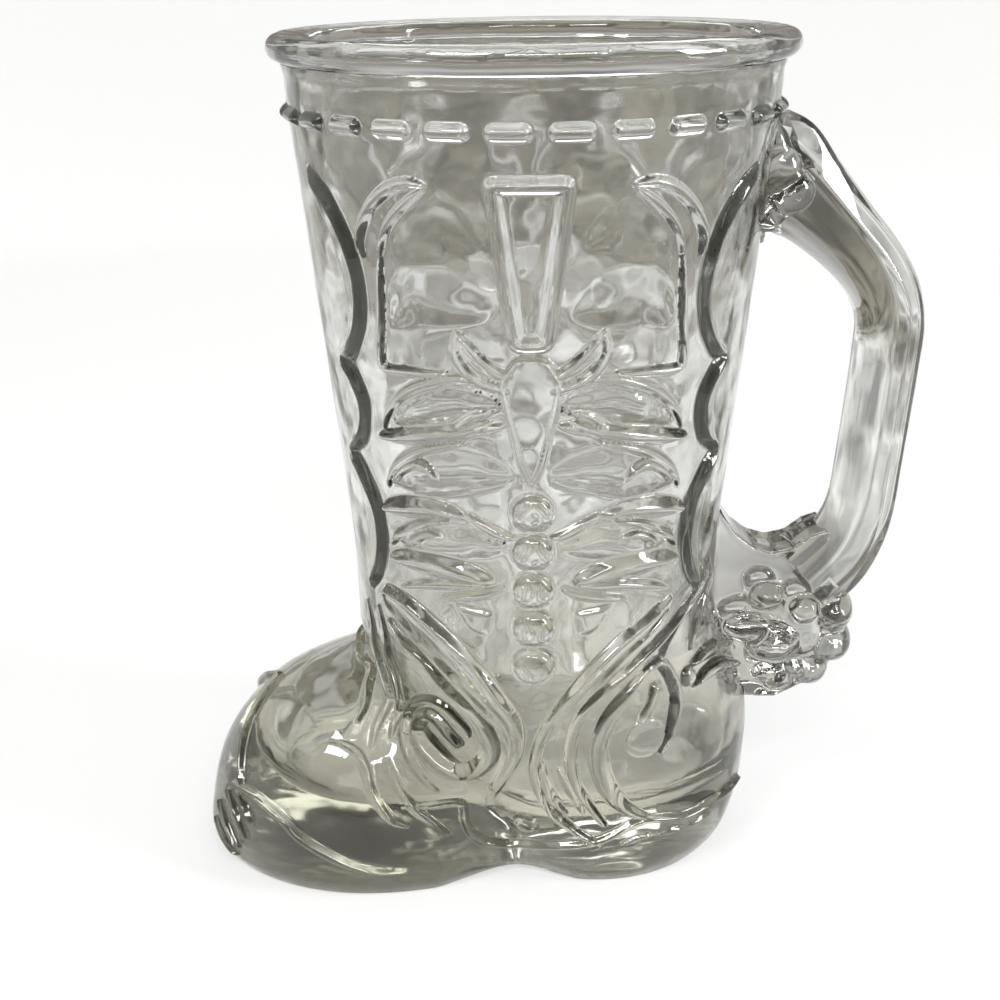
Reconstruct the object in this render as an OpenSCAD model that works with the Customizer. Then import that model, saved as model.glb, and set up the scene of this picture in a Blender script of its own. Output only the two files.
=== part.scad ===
// Pressed-glass boot mug: a tapered leg with a rolled rim, a hollow foot, a handle that springs
// from under the rim and lands on a spur at the heel, and raised western ornament on both sides.
// The toe points to -X, the handle to +X. The sole stands on Z = 0.

/* [Overall] */
// Height from the table to the top of the rim
total_h = 152; // [146:1:165]
// Outer diameter of the rolled rim
rim_d = 90; // [87:0.5:96]
// Reach of the toe tip in front of the leg's axis
toe_reach = 65.8; // [62:0.2:69]
// Reach of the handle behind the leg's axis
handle_reach = 70; // [67:0.5:76]

/* [Leg] */
// Outer diameter of the leg just under the rim
neck_d = 84.4; // [80:0.2:86]
// Outer diameter of the leg at the ankle
ankle_d = 67.6; // [65:0.2:70]
// Height of the plane where the leg stands on the foot
ankle_h = 46; // [43.5:0.5:46.5]
// Height at which the leg starts to widen upwards
taper_h = 60; // [57:0.5:63]
// How far below the top of the rim the leg stops widening
neck_drop = 9; // [8:0.5:11]
// Thickness of the leg's wall
wall = 4.4; // [3:0.1:5.5]

/* [Rim] */
// Height of the rolled rim
rim_h = 4.6; // [4:0.1:5]
// Diameter of the rim's rounded outer nose
nose_d = 4.4; // [3.6:0.1:5]
// Radius of the rim's rounded inner edge
lip_r = 1.4; // [0.8:0.1:1.8]

/* [Foot] */
// Height of the instep where the foot meets the front of the leg
instep_h = 38.3; // [35:0.1:42]
// Width of the foot across the ball
ball_w = 60.6; // [56:0.2:65]
// Distance from the leg's axis forward to the widest part of the ball
ball_x = 31.8; // [29:0.2:34]
// Length of the sole's curve behind the ball
ball_back = 38; // [36:0.5:41]
// Reach of the heel counter behind the leg's axis
heel_reach = 41.3; // [39:0.1:43]
// Length over which the foot's forms melt into each other
foot_blend = 8; // [5:0.5:10]
// Thickness of the sole
sole_t = 6; // [4:0.5:8]
// Height of the heel
heel_h = 10; // [8:0.5:11]
// Distance from the leg's axis forward to the heel's breast
breast_x = 6; // [3:0.5:9]
// How far the sole and heel stand proud of the foot
welt = 0.4; // [0.2:0.1:1]
// Rise of the arch under the waist
arch_rise = 1.4; // [0.8:0.1:2.5]
// Length of the arch
arch_l = 25; // [22:0.5:25.5]

/* [Cavity] */
// Height of the cavity's floor above the table
floor_h = 12; // [11.5:0.1:14]
// Thickness of glass at the toe
toe_wall = 7.5; // [5:0.5:10]
// Thickness of glass over the vamp
vamp_t = 5; // [4:0.5:7]
// Radius of the cavity's bottom corner
corner_r = 4; // [2:0.5:6]

/* [Handle] */
// Thickness of the grip, seen from the side
grip_t = 11.6; // [10:0.1:13]
// Width of the grip, seen from behind
grip_w = 14; // [12:0.5:16]
// Width of the grip's chamfers on its side faces
chamfer_t = 3.4; // [2:0.1:4.2]
// Width of the grip's chamfers on its inner and outer faces
chamfer_w = 3.2; // [2:0.1:4.5]
// Gap between the handle's upper root and the stitch row above it
root_gap = 0.7; // [0.3:0.1:2]
// Diameter of the rounded boss on each side of the upper root
boss_d = 8.6; // [7:0.2:9.6]
// Width across the two bosses
boss_w = 21; // [19:0.5:24]

/* [Spur] */
// Diameter of the rowel, without its lobes
rowel_d = 19; // [17:0.5:21]
// Width of the rowel
rowel_w = 17; // [15:0.5:19]
// Number of lobes round the whole rowel
rowel_lobes = 9; // [8:1:10]
// Diameter of each lobe
lobe_d = 8.4; // [7:0.2:9.4]
// Height of the rowel's centre
rowel_z = 41.5; // [40:0.5:43]
// Distance of the rowel's centre behind the leg's axis
rowel_x = 48; // [47:0.5:49]

/* [Stitching] */
// Number of stitches round the top
stitches = 28; // [24:1:30]
// How far the stitch row's middle lies below the top of the rim
stitch_drop = 12.5; // [11:0.5:15]
// Length of a stitch
stitch_l = 6.6; // [5:0.2:7.2]
// Height of a stitch
stitch_h = 2; // [1.4:0.1:2.6]
// How far a stitch stands proud
stitch_rise = 0.9; // [0.5:0.1:1.4]

/* [Ornament] */
// How far bands, borders and darts stand proud
relief = 1.1; // [0.6:0.1:1.8]
// Number of round studs in the row below the skull
studs = 5; // [4:1:5]
// Share of the distance between studs that a stud fills
stud_fill = 0.89; // [0.7:0.01:0.93]
// How far a stud stands proud
stud_rise = 1.9; // [1:0.1:2.6]
// Width of the scalloped border
border_w = 3.6; // [2.4:0.2:4.6]
// Width of the bands that cross the ankle
band_w = 7.6; // [6:0.2:9]
// Width of a scroll's rib
scroll_w = 3.4; // [2.4:0.2:4.2]
// Diameter of the ball inside the heel's hook
ball_d = 4.8; // [3.6:0.2:5.4]
// How far that ball stands proud
ball_rise = 1.4; // [0.8:0.1:2]
// Width of a fold or a line of tooling
fold_w = 2.8; // [1.8:0.2:3.4]
// How far folds and lines stand proud
fold_rise = 0.9; // [0.5:0.1:1.4]
// Width of the pull strap at its top
strap_w = 13; // [11:0.5:14]
// Thickness of the strap's raised edge
strap_edge = 1.8; // [1.2:0.1:2.2]

/* [Hidden] */

glass_colour = [0.80, 0.84, 0.80, 0.55];
thick_colour = [0.62, 0.66, 0.56, 0.70];
relief_colour = [0.90, 0.93, 0.92, 0.75];
round_fn = 96;
small_fn = 32;
cut_over = 1;        // how far a cutting solid runs past what it cuts
leg_x = (toe_reach + welt - handle_reach) / 2;
neck_r = neck_d / 2;
ankle_r = ankle_d / 2;
neck_h = total_h - neck_drop;
leg_slope = (neck_r - ankle_r) / (neck_h - taper_h);
rim_z = total_h - rim_h;
nose_r = nose_d / 2;
nose_x = rim_d / 2 - nose_r;
inner_neck_r = neck_r - wall;
cove_h = nose_x - neck_r + cut_over;

// Plain helpers
function clamp01(t) = min(1, max(0, t));
function mix(a, b, t) = a + (b - a) * t;
// Value of column c at place v in a table whose first column rises
function row_at(t, v, c, i = 0) =
    i >= len(t) - 2 || v <= t[i + 1][0]
        ? mix(t[i][c], t[i + 1][c], clamp01((v - t[i][0]) / (t[i + 1][0] - t[i][0])))
        : row_at(t, v, c, i + 1);
// Larger of two reaches, with their meeting rounded over the width k
function melt(a, b, k) = let (h = clamp01(0.5 + (a - b) / k / 2)) mix(b, a, h) + k * h * (1 - h);
// Place t, from 0 to 1, on a smooth curve through the points p
function curve_at(p, t) =
    let (n = len(p) - 1, i = min(n - 1, floor(t * n)), f = t * n - i,
         a = p[max(0, i - 1)], b = p[i], c = p[i + 1], d = p[min(n, i + 2)])
    b + (c - a) * f / 2 + (2 * a - 5 * b + 4 * c - d) * f * f / 2
      + (3 * b - a - 3 * c + d) * f * f * f / 2;
function smooth(p, n) = [for (i = [0 : n]) curve_at(p, i / n)];

// The leg's outer radius at height z
function leg_r(z) = ankle_r + leg_slope * (min(max(z, taper_h), neck_h) - taper_h);

// The heel counter and ankle, by share of the ankle's height: the bulge at the back as a share
// of heel_reach - ankle_r, the half width and the front reach as shares of ankle_r, and the
// centre's setback as a share of heel_reach
counter_shares = [[0, 0.28, 0.75, 0.45, 0.27], [0.03, 0.52, 0.79, 0.45, 0.27],
                  [0.17, 0.80, 0.82, 0.46, 0.22], [0.30, 0.93, 0.85, 0.55, 0.16],
                  [0.50, 1, 0.895, 0.77, 0.08], [0.65, 0.92, 0.925, 0.90, 0.04],
                  [0.83, 0.55, 0.955, 0.94, 0.01], [0.93, 0.24, 0.98, 0.975, 0],
                  [1, 0, 1, 1, 0]];
// The toe, by share of the instep's height: the reach as a share of toe_reach and the half
// width as a share of half of ball_w
toe_shares = [[0, 0.975, 0.95], [0.04, 1, 1], [0.2, 0.985, 1], [0.31, 0.972, 0.985],
              [0.43, 0.95, 0.94], [0.55, 0.913, 0.865], [0.666, 0.862, 0.77],
              [0.78, 0.796, 0.64], [0.89, 0.66, 0.46], [1, 0.5, 0.2], [1.12, 0.38, 0.08]];
toe_top_share = toe_shares[len(toe_shares) - 1][0];

// Reach in the direction phi of an oval about (cx, 0), from the leg's axis. The direction phi
// turns from -Y towards +X
function oval_reach(phi, cx, front, back, half_w) =
    let (c = sin(phi), s = abs(cos(phi)), a = c * half_w > s * cx ? back - cx : front + cx,
         k = c * cx / a / a, q = c * c / a / a + s * s / half_w / half_w)
    (k + sqrt(max(0, k * k - q * (cx * cx / a / a - 1)))) / q;
function counter_reach(phi, z, less) =
    let (t = z / ankle_h)
    oval_reach(phi, heel_reach * row_at(counter_shares, t, 4),
               ankle_r * row_at(counter_shares, t, 3) - less,
               ankle_r + (heel_reach - ankle_r) * row_at(counter_shares, t, 1) - less,
               ankle_r * row_at(counter_shares, t, 2) - less);
function toe_cap_reach(phi, z, less) =
    let (t = z / instep_h, w = row_at(toe_shares, t, 2))
    t > toe_top_share ? 0
        : oval_reach(phi, -ball_x, max(toe_reach * row_at(toe_shares, t, 1) - less, ball_x + welt),
                     ball_back - ball_x, (ball_w / 2 - less) * w);
function blend_at(z) = max(welt, min(foot_blend, (ankle_h - z) / 2));
// Outer radius of the glass below the rim, by direction and height
function glass_r(phi, z) = z >= ankle_h ? leg_r(z)
    : melt(counter_reach(phi, z, 0), toe_cap_reach(phi, z, 0), blend_at(z));
// Radius of the cavity in the foot
function cavity_r(phi, z) =
    let (up = max(0, floor_h + corner_r - z))
    melt(counter_reach(phi, z, wall), toe_cap_reach(phi, z + vamp_t, toe_wall), blend_at(z))
        - corner_r + sqrt(corner_r * corner_r - up * up);

function on_glass(phi, z, up = 0) = let (r = glass_r(phi, z) + up)
    [r * sin(phi), -r * cos(phi), z];
// Closed solid through rings of as many points each. Its ends are flat, or else fans of
// triangles about the first point of the ring
module loft(rings, fan = false) {
    n = len(rings[0]);
    m = len(rings);
    polyhedron([for (r = rings) each r],
               concat(fan ? [for (i = [1 : n - 2]) [0, i, i + 1]] : [[for (i = [0 : n - 1]) i]],
                      [for (j = [0 : m - 2]) for (i = [0 : n - 1]) let (k = (i + 1) % n)
                          each [[j * n + i, j * n + n + i, j * n + k],
                                [j * n + k, j * n + n + i, j * n + n + k]]],
                      fan ? [for (i = [1 : n - 2]) [m * n - n, m * n - n + i + 1, m * n - n + i]]
                          : [[for (i = [n - 1 : -1 : 0]) m * n - n + i]]));
}
foot_steps = 84;
cavity_steps = 60;
foot_level_shares = [0, 0.03, 0.09, 0.17, 0.26, 0.36, 0.46, 0.55, 0.62, 0.69, 0.75, 0.80, 0.84,
                     0.89, 0.93, 0.97, 1];
cavity_level_shares = [0, 0.02, 0.05, 0.10, 0.20, 0.31, 0.42, 0.52, 0.61, 0.69, 0.76, 0.86, 1];
function foot_ring(z, grow) = [for (i = [0 : foot_steps - 1]) on_glass(i * 360 / foot_steps, z, grow)];
function cavity_ring(z, at) = [for (i = [0 : cavity_steps - 1])
    let (phi = i * 360 / cavity_steps, r = cavity_r(phi, z)) [r * sin(phi), -r * cos(phi), at]];
// The outside of the foot between two heights
module foot_body(z0, z1, grow) {
    loft(concat([foot_ring(z0, grow)],
                [for (s = foot_level_shares) if (s * ankle_h > z0 && s * ankle_h < z1)
                    foot_ring(s * ankle_h, grow)],
                [foot_ring(z1, grow)]));
}
module foot_cavity() {
    loft(concat([for (s = cavity_level_shares) let (z = mix(floor_h, ankle_h, s)) cavity_ring(z, z)],
                [cavity_ring(ankle_h, ankle_h + cut_over)]));
}
// The outside of the leg, solid to its axis
module leg_body(grow) {
    rotate_extrude($fn = round_fn)
        polygon([[0, ankle_h], [ankle_r + grow, ankle_h], [ankle_r + grow, taper_h],
                 [neck_r + grow, neck_h], [neck_r + grow, rim_z], [0, rim_z]]);
}
module at_leg() { translate([leg_x, 0, 0]) children(); }
module both_sides() {
    children();
    mirror([0, 1, 0]) children();
}
// A raised rib along a path of [direction, height] points, with its half width at each point
module rib(path, half_ws, rise) {
    n = len(path) - 1;
    turn = 180 / PI;
    widest = max(half_ws);
    loft([for (i = [0 : n])
        let (p = path[i], a = path[max(0, i - 1)], b = path[min(n, i + 1)],
             r = glass_r(p[0], p[1]), d = [(b[0] - a[0]) * r / turn, b[1] - a[1]],
             e = d / norm(d), w = half_ws[i])
        [for (s = rib_section_shares)
            on_glass(p[0] + e[1] * w * s[0] / r * turn, p[1] - e[0] * w * s[0],
                     rise * s[1] * w / widest)]], true);
}
// Across a rib: the place as a share of its half width, and the height as a share of its rise
rib_section_shares = [[0, 0], [-1, 0], [-0.62, 0.78], [0, 1], [0.62, 0.78], [1, 0]];
// A round stud on the glass, by the angles up its side
dome_angles = [0, 22, 45, 66, 84];
dome_steps = 16;
module dome(phi, z, d, rise) {
    turn = 180 / PI / glass_r(phi, z);
    loft([for (a = dome_angles) [for (i = [0 : dome_steps - 1]) let (b = i * 360 / dome_steps)
              on_glass(phi + d / 2 * cos(a) * cos(b) * turn, z + d / 2 * cos(a) * sin(b),
                       rise * sin(a))]], true);
}
// Half widths that swell from a small end to w and back, all the way or near the ends only
leaf_end_share = 0.12;
even_end_share = 0.25;
even_run_share = 0.25;
function leaf(n, w) =
    [for (i = [0 : n]) w * max(leaf_end_share, sqrt(max(0, sin(180 * i / n))))];
function even(n, w) =
    [for (i = [0 : n]) w * mix(even_end_share, 1, min(1, min(i, n - i) / n / even_run_share))];
// A flat outline, drawn as seen from the side, raised on the leg at the direction phi
module raised(phi, rise) {
    intersection() {
        difference() {
            rotate([0, 0, phi]) rotate([90, 0, 0]) linear_extrude(rim_d / 2) children();
            leg_body(0);
        }
        leg_body(rise);
    }
}

module rim() {
    color(glass_colour) at_leg() rotate_extrude($fn = round_fn) {
        translate([inner_neck_r, rim_z]) square([nose_x - inner_neck_r, rim_h - lip_r]);
        translate([inner_neck_r + lip_r, rim_z]) square([nose_x - inner_neck_r - lip_r, rim_h]);
        translate([inner_neck_r + lip_r, total_h - lip_r]) circle(lip_r, $fn = small_fn);
        translate([nose_x, total_h - nose_r]) circle(nose_r, $fn = small_fn);
    }
}

module leg() {
    color(glass_colour) at_leg() difference() {
        rotate_extrude($fn = round_fn)
            polygon([[ankle_r, ankle_h], [ankle_r, taper_h], [neck_r, neck_h],
                     [neck_r, rim_z - cove_h], [nose_x, rim_z], [inner_neck_r, rim_z],
                     [inner_neck_r, neck_h], [ankle_r - wall, taper_h], [ankle_r - wall, ankle_h]]);
        web(grip_w * web_w_share);
    }
}

module foot() {
    color(thick_colour) at_leg() difference() {
        foot_body(sole_t, ankle_h, 0);
        foot_cavity();
        web(grip_w * web_w_share);
        rowel();
        translate([-breast_x, -ball_w / 2 - cut_over, 0])
            cube([breast_x + heel_reach + cut_over, ball_w + 2 * cut_over, heel_h]);
    }
}

// The shallow arch that lifts the waist off the table
arch_steps = 10;
module arch() {
    r = (arch_l * arch_l / 4 + arch_rise * arch_rise) / 2 / arch_rise;
    half = acos(1 - 2 * arch_rise / r);
    translate([-breast_x, 0, arch_rise - r]) rotate([90, 0, 0])
        linear_extrude(ball_w + 2 * cut_over, center = true)
            polygon([for (i = [0 : arch_steps]) let (a = mix(-half, half, i / arch_steps))
                [r * sin(a), r * cos(a)]]);
}
module sole() {
    color(thick_colour) at_leg() difference() {
        foot_body(0, sole_t, welt);
        translate([-breast_x, -ball_w / 2 - cut_over, -cut_over])
            cube([breast_x + heel_reach + cut_over, ball_w + 2 * cut_over, sole_t + 2 * cut_over]);
        arch();
    }
}
module heel() {
    color(thick_colour) at_leg() difference() {
        foot_body(0, heel_h, welt);
        translate([-breast_x - toe_reach, -ball_w / 2 - cut_over, -cut_over])
            cube([toe_reach, ball_w + 2 * cut_over, heel_h + 2 * cut_over]);
        arch();
    }
}

// The grip's middle line from the leg down to the spur: distance behind the leg's axis as a
// share of handle_reach, height as a share of the root's, and thickness as a share of grip_t
grip_shares = [[0.5, 1.009, 2.1], [0.604, 1, 1.92], [0.679, 0.974, 1.42], [0.76, 0.933, 1.17],
               [0.838, 0.887, 1.07], [0.89, 0.844, 1.03], [0.914, 0.798, 1], [0.911, 0.744, 0.98],
               [0.902, 0.672, 0.98], [0.888, 0.592, 0.98], [0.875, 0.521, 1], [0.85, 0.474, 1.06],
               [0.805, 0.435, 1.17], [0.735, 0.396, 1.25]];
// The root's middle, with its top a gap below the stitch row
root_z = total_h - stitch_drop - stitch_h / 2 - root_gap - grip_t / 2 * grip_shares[1][2];
grip_steps = 39;
module grip_body() {
    n = grip_steps;
    line = smooth(grip_shares, n);
    at = [for (g = line) [g[0] * handle_reach, g[1] * root_z]];
    loft([for (i = [0 : n])
        let (d = at[min(n, i + 1)] - at[max(0, i - 1)], e = d / norm(d),
             t = grip_t / 2 * line[i][2], w = grip_w / 2)
        [for (s = [[t, w - chamfer_w], [t - chamfer_t, w], [chamfer_t - t, w], [-t, w - chamfer_w],
                   [-t, chamfer_w - w], [chamfer_t - t, -w], [t - chamfer_t, -w],
                   [t, chamfer_w - w]])
            [at[i][0] + e[1] * s[0], s[1], at[i][1] - e[0] * s[0]]]]);
}
module grip() {
    color(glass_colour) at_leg() difference() {
        grip_body();
        leg_body(0);
        web(rim_d);
        rowel();
    }
}

// Each side of the upper root swells into a rounded thumb rest that hangs down the limb. Its top
// and its tip: the place out of the leg's wall as a share of boss_d, and the height as a share of
// total_h
boss_shares = [[-0.575, 0.885], [0.305, 0.826]];
function boss_at(s) = [leg_r(s[1] * total_h) + s[0] * boss_d, s[1] * total_h];
module handle_root() {
    top = boss_at(boss_shares[0]);
    fall = boss_at(boss_shares[1]) - top;
    r = boss_d / 2;
    color(glass_colour) at_leg() difference() {
        both_sides() translate([top[0], r - boss_w / 2, top[1]])
            rotate([0, atan2(fall[0], fall[1]), 0]) {
                cylinder(h = norm(fall), r = r, $fn = small_fn);
                translate([0, 0, norm(fall)]) sphere(r, $fn = small_fn);
            }
        leg_body(0);
        translate([0, -grip_w / 2, 0]) cube([handle_reach, grip_w, total_h]);
    }
}

// Side view of the web between the heel, the leg and the grip, in shares of handle_reach and of
// total_h. It sits in a shallow seat in the glass behind it
web_shares = [[0.458, 0.420], [0.525, 0.398], [0.565, 0.383], [0.627, 0.372], [0.67, 0.379],
              [0.773, 0.324], [0.83, 0.299], [0.815, 0.262], [0.76, 0.205], [0.66, 0.181],
              [0.560, 0.181], [0.535, 0.225], [0.47, 0.29]];
web_w_share = 0.8;
module web(w) {
    rotate([90, 0, 0]) linear_extrude(w, center = true)
        polygon([for (s = web_shares) [s[0] * handle_reach, s[1] * total_h]]);
}
// The rowel from one side face to the other: the place across its width, and its radius as a
// share of the radius over the lobes
rowel_section_shares = [[-0.5, 0.40], [-0.48, 0.62], [-0.40, 0.84], [-0.27, 0.96], [0, 1],
                        [0.27, 0.96], [0.40, 0.84], [0.48, 0.62], [0.5, 0.40]];
rowel_steps = 54;
lobe_depth_share = 0.16;  // depth between two lobes, as a share of the radius there
module rowel() {
    over_lobes = (rowel_d + lobe_d) / 2;
    translate([rowel_x, 0, rowel_z]) rotate([90, 0, 0]) loft([for (s = rowel_section_shares)
        [for (i = [0 : rowel_steps - 1])
            let (a = i * 360 / rowel_steps, dip = abs(sin(a * rowel_lobes / 2)),
                 r = over_lobes * s[1] * (1 - (1 - dip) * (1 - dip) * lobe_depth_share))
            [r * cos(a), r * sin(a), s[0] * rowel_w]]]);
}
// The spur: the web and the rowel
module spur() {
    color(thick_colour) at_leg() {
        web(grip_w * web_w_share);
        rowel();
    }
}

module stitches() {
    stitch_z = total_h - stitch_drop;
    turn = 180 / PI / leg_r(stitch_z);
    color(relief_colour) at_leg()
        for (i = [0 : stitches - 1]) let (phi = (i + stitch_shift_share) * 360 / stitches)
            rib([for (s = stitch_shares) [phi + s[0] * stitch_l * turn, stitch_z]],
                [for (s = stitch_shares) s[1] * stitch_h], stitch_rise);
}
// Along a stitch: the place as a share of its length, and its half width as a share of its height
stitch_shares = [[-0.5, 0.1], [-0.44, 0.35], [-0.34, 0.5], [0.34, 0.5], [0.44, 0.35], [0.5, 0.1]];
// Where the first stitch stands, as a share of the distance between stitches
stitch_shift_share = 0.5;

// Direction of the middle of the ornament on each side of the leg
side_phi = -2.3;
// Strap: top and bottom as shares of total_h, bottom width as a share of its top width
strap_top_share = 0.877;
strap_end_share = 0.70;
strap_taper_share = 0.5;
module strap_outline(less) {
    top = strap_top_share * total_h - less;
    low = strap_end_share * total_h + less;
    w = strap_w / 2 - less;
    polygon([[-w, top], [w, top], [strap_w / 2 * strap_taper_share - less, low],
             [less - strap_w / 2 * strap_taper_share, low]]);
}
module pull_straps() {
    color(relief_colour) at_leg() both_sides() raised(side_phi, relief) difference() {
        strap_outline(0);
        strap_outline(strap_edge);
    }
}

// Skull: the snout's outline as shares of strap_w across and of total_h up, and the horn's
// middle line as directions and shares of total_h
snout_shares = [[-0.26, 0.695], [-0.40, 0.672], [-0.36, 0.645], [-0.24, 0.60], [-0.14, 0.557],
                [0, 0.535], [0.14, 0.557], [0.24, 0.60], [0.36, 0.645], [0.40, 0.672],
                [0.26, 0.695]];
horn_shares = [[9.2, 0.662], [11.5, 0.656], [14.5, 0.66], [17.4, 0.68], [18.4, 0.703], [17.6, 0.726]];
horn_steps = 12;
horn_w_share = 0.6;  // a horn's greatest half width, as a share of border_w
module skulls() {
    color(relief_colour) at_leg() both_sides() {
        raised(side_phi, relief)
            polygon([for (s = snout_shares) [s[0] * strap_w, s[1] * total_h]]);
        for (m = [-1, 1])
            rib(smooth([for (s = horn_shares) [side_phi + m * s[0], s[1] * total_h]], horn_steps),
                leaf(horn_steps, border_w * horn_w_share), relief);
    }
}

// Studs: the height of the lowest and the distance between them, as shares of total_h
stud_low_share = 0.327;
stud_pitch_share = 0.0487;
module studs() {
    pitch = stud_pitch_share * total_h;
    color(relief_colour) at_leg() both_sides() for (i = [0 : studs - 1])
        dome(side_phi, stud_low_share * total_h + i * pitch, stud_fill * pitch, stud_rise);
}

// Darts: the direction and the share of total_h at the inner and outer tips, and the greatest
// half width as a share of band_w
dart_shares = [[22, 0.66, 43, 0.664, 0.14], [20, 0.598, 43, 0.586, 0.16], [19, 0.508, 43, 0.515, 0.2],
               [12, 0.432, 43, 0.436, 0.24], [9, 0.392, 24, 0.385, 0.34],
               [22, 0.863, 42, 0.795, 0.28], [37.5, 0.775, 38, 0.685, 0.15]];
dart_steps = 6;
module rib_darts() {
    color(relief_colour) at_leg() both_sides() for (m = [-1, 1]) for (d = dart_shares)
        rib([for (i = [0 : dart_steps]) let (t = i / dart_steps, bow = sin(180 * t) * dart_bow)
                [side_phi + m * mix(d[0], d[2], t), mix(d[1], d[3], t) * total_h + bow]],
            leaf(dart_steps, d[4] * band_w), relief);
}
dart_bow = 0.9;      // how far a dart bows upwards in its middle

// Bands, ribs and borders: directions, and heights as shares of total_h
toe_band_shares = [[-41, 0.38], [-30, 0.345], [-20, 0.302], [-12.5, 0.262], [-9, 0.225],
                   [-9.5, 0.19], [-14, 0.155]];
heel_band_shares = [[42, 0.372], [30, 0.345], [18, 0.306], [10.5, 0.270], [7, 0.232], [7, 0.19],
                    [9.5, 0.15], [14, 0.118]];
band_steps = 22;
module ankle_bands() {
    color(relief_colour) at_leg() both_sides() for (b = [toe_band_shares, heel_band_shares])
        rib(smooth([for (s = b) [s[0], s[1] * total_h]], band_steps),
            even(band_steps, band_w / 2), relief);
}

scroll_phi = -35;
scroll_z_share = 0.203;
scroll_r = 8.6;       // outer radius of the spiral's middle line
scroll_end_share = 0.3;
scroll_start = 150;   // angle at which the spiral starts, from level
scroll_turns = 1.35;
scroll_steps = 34;
hook_shares = [[45, 0.20], [46, 0.245], [42, 0.277], [35, 0.285], [28, 0.268], [22, 0.235],
               [19.5, 0.19], [21, 0.145], [27, 0.112], [35, 0.095]];
hook_steps = 24;
module scrolls() {
    zc = scroll_z_share * total_h;
    turn = 180 / PI / glass_r(scroll_phi, zc);
    spiral = [for (i = [0 : scroll_steps])
        let (t = i / scroll_steps, a = scroll_start - 360 * scroll_turns * t,
             r = scroll_r * mix(1, scroll_end_share, t))
        [scroll_phi + r * cos(a) * turn, zc + r * sin(a)]];
    color(relief_colour) at_leg() both_sides() {
        rib(spiral, even(scroll_steps, scroll_w / 2), relief);
        rib(smooth([for (s = hook_shares) [s[0], s[1] * total_h]], hook_steps),
            even(hook_steps, scroll_w / 2), relief);
        dome(ball_phi, ball_z_share * total_h, ball_d, ball_rise);
    }
}
ball_phi = 33;
ball_z_share = 0.24;

border_shares = [[58, 0.855], [50, 0.827], [45, 0.785], [45, 0.735], [50, 0.69], [56, 0.667],
                 [52.5, 0.645], [49.5, 0.61], [52.5, 0.575], [58.5, 0.552], [54, 0.525],
                 [50, 0.475], [51, 0.425], [58, 0.38]];
border_steps = 42;
module scallop_borders() {
    color(relief_colour) at_leg() both_sides() for (m = [-1, 1])
        rib(smooth([for (s = border_shares) [side_phi + m * s[0], s[1] * total_h]], border_steps),
            even(border_steps, border_w / 2), relief);
}

// Folds in the boot's ankle, the curl of tooling on the toe, and the line over the heel: directions,
// and heights above the sole or the heel as shares of the height from there to the rim's top
fold_shares = [[[-54, 0.261], [-52, 0.219], [-55, 0.172], [-62, 0.138]],
               [[-60, 0.25], [-58, 0.214], [-61, 0.178], [-68, 0.152]],
               [[-62, 0.131], [-52, 0.123], [-44, 0.099], [-36, 0.063], [-26, 0.047], [-14, 0.045]],
               [[-84, 0.084], [-76, 0.053], [-64, 0.021], [-50, 0.016]]];
heel_line_shares = [[-12, 0.013], [4, 0.011], [18, 0.021], [32, 0.042], [48, 0.031], [62, 0.021]];
fold_steps = 12;
module fold(shares, low) {
    rib(smooth([for (s = shares) [s[0], mix(low, total_h, s[1])]], fold_steps),
        leaf(fold_steps, fold_w / 2), fold_rise);
}
module foot_folds() {
    color(relief_colour) at_leg() both_sides() {
        for (f = fold_shares) fold(f, sole_t);
        fold(heel_line_shares, heel_h);
    }
}

rim();
leg();
foot();
sole();
heel();
grip();
handle_root();
spur();
stitches();
pull_straps();
skulls();
studs();
rib_darts();
ankle_bands();
scrolls();
scallop_borders();
foot_folds();
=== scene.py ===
import math

import bpy
import numpy as np
from mathutils import Matrix, Vector
from mathutils.bvhtree import BVHTree


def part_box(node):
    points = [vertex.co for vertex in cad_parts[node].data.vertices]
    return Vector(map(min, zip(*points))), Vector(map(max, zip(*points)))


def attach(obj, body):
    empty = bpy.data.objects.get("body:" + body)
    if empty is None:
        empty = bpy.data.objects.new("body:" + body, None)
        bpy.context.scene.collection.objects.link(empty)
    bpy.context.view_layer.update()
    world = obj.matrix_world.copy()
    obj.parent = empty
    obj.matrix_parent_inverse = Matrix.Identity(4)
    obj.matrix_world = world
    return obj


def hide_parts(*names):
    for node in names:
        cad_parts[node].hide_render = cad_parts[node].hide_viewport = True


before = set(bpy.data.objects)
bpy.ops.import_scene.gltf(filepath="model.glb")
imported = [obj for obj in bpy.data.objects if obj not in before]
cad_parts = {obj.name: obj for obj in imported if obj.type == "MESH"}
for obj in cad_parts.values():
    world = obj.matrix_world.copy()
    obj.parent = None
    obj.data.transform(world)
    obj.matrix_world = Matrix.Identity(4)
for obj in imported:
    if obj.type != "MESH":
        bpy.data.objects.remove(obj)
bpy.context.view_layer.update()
bpy.ops.object.select_all(action="DESELECT")
bpy.context.tool_settings.mesh_select_mode = (False, False, True)
print("frame loaded")

# sizes are in millimetres about the leg's axis until a mesh is placed
mm = 0.001
rimLow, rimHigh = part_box("rim")
legX = (rimLow.x + rimHigh.x) / 2 / mm
rimZ = rimLow.z / mm
topZ = rimHigh.z / mm
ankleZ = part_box("leg")[0].z / mm
jointGap = 0.02     # air between two pieces of the one casting


# the glass's outline, by direction (0 at -Y, turning to +X) and height

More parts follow.
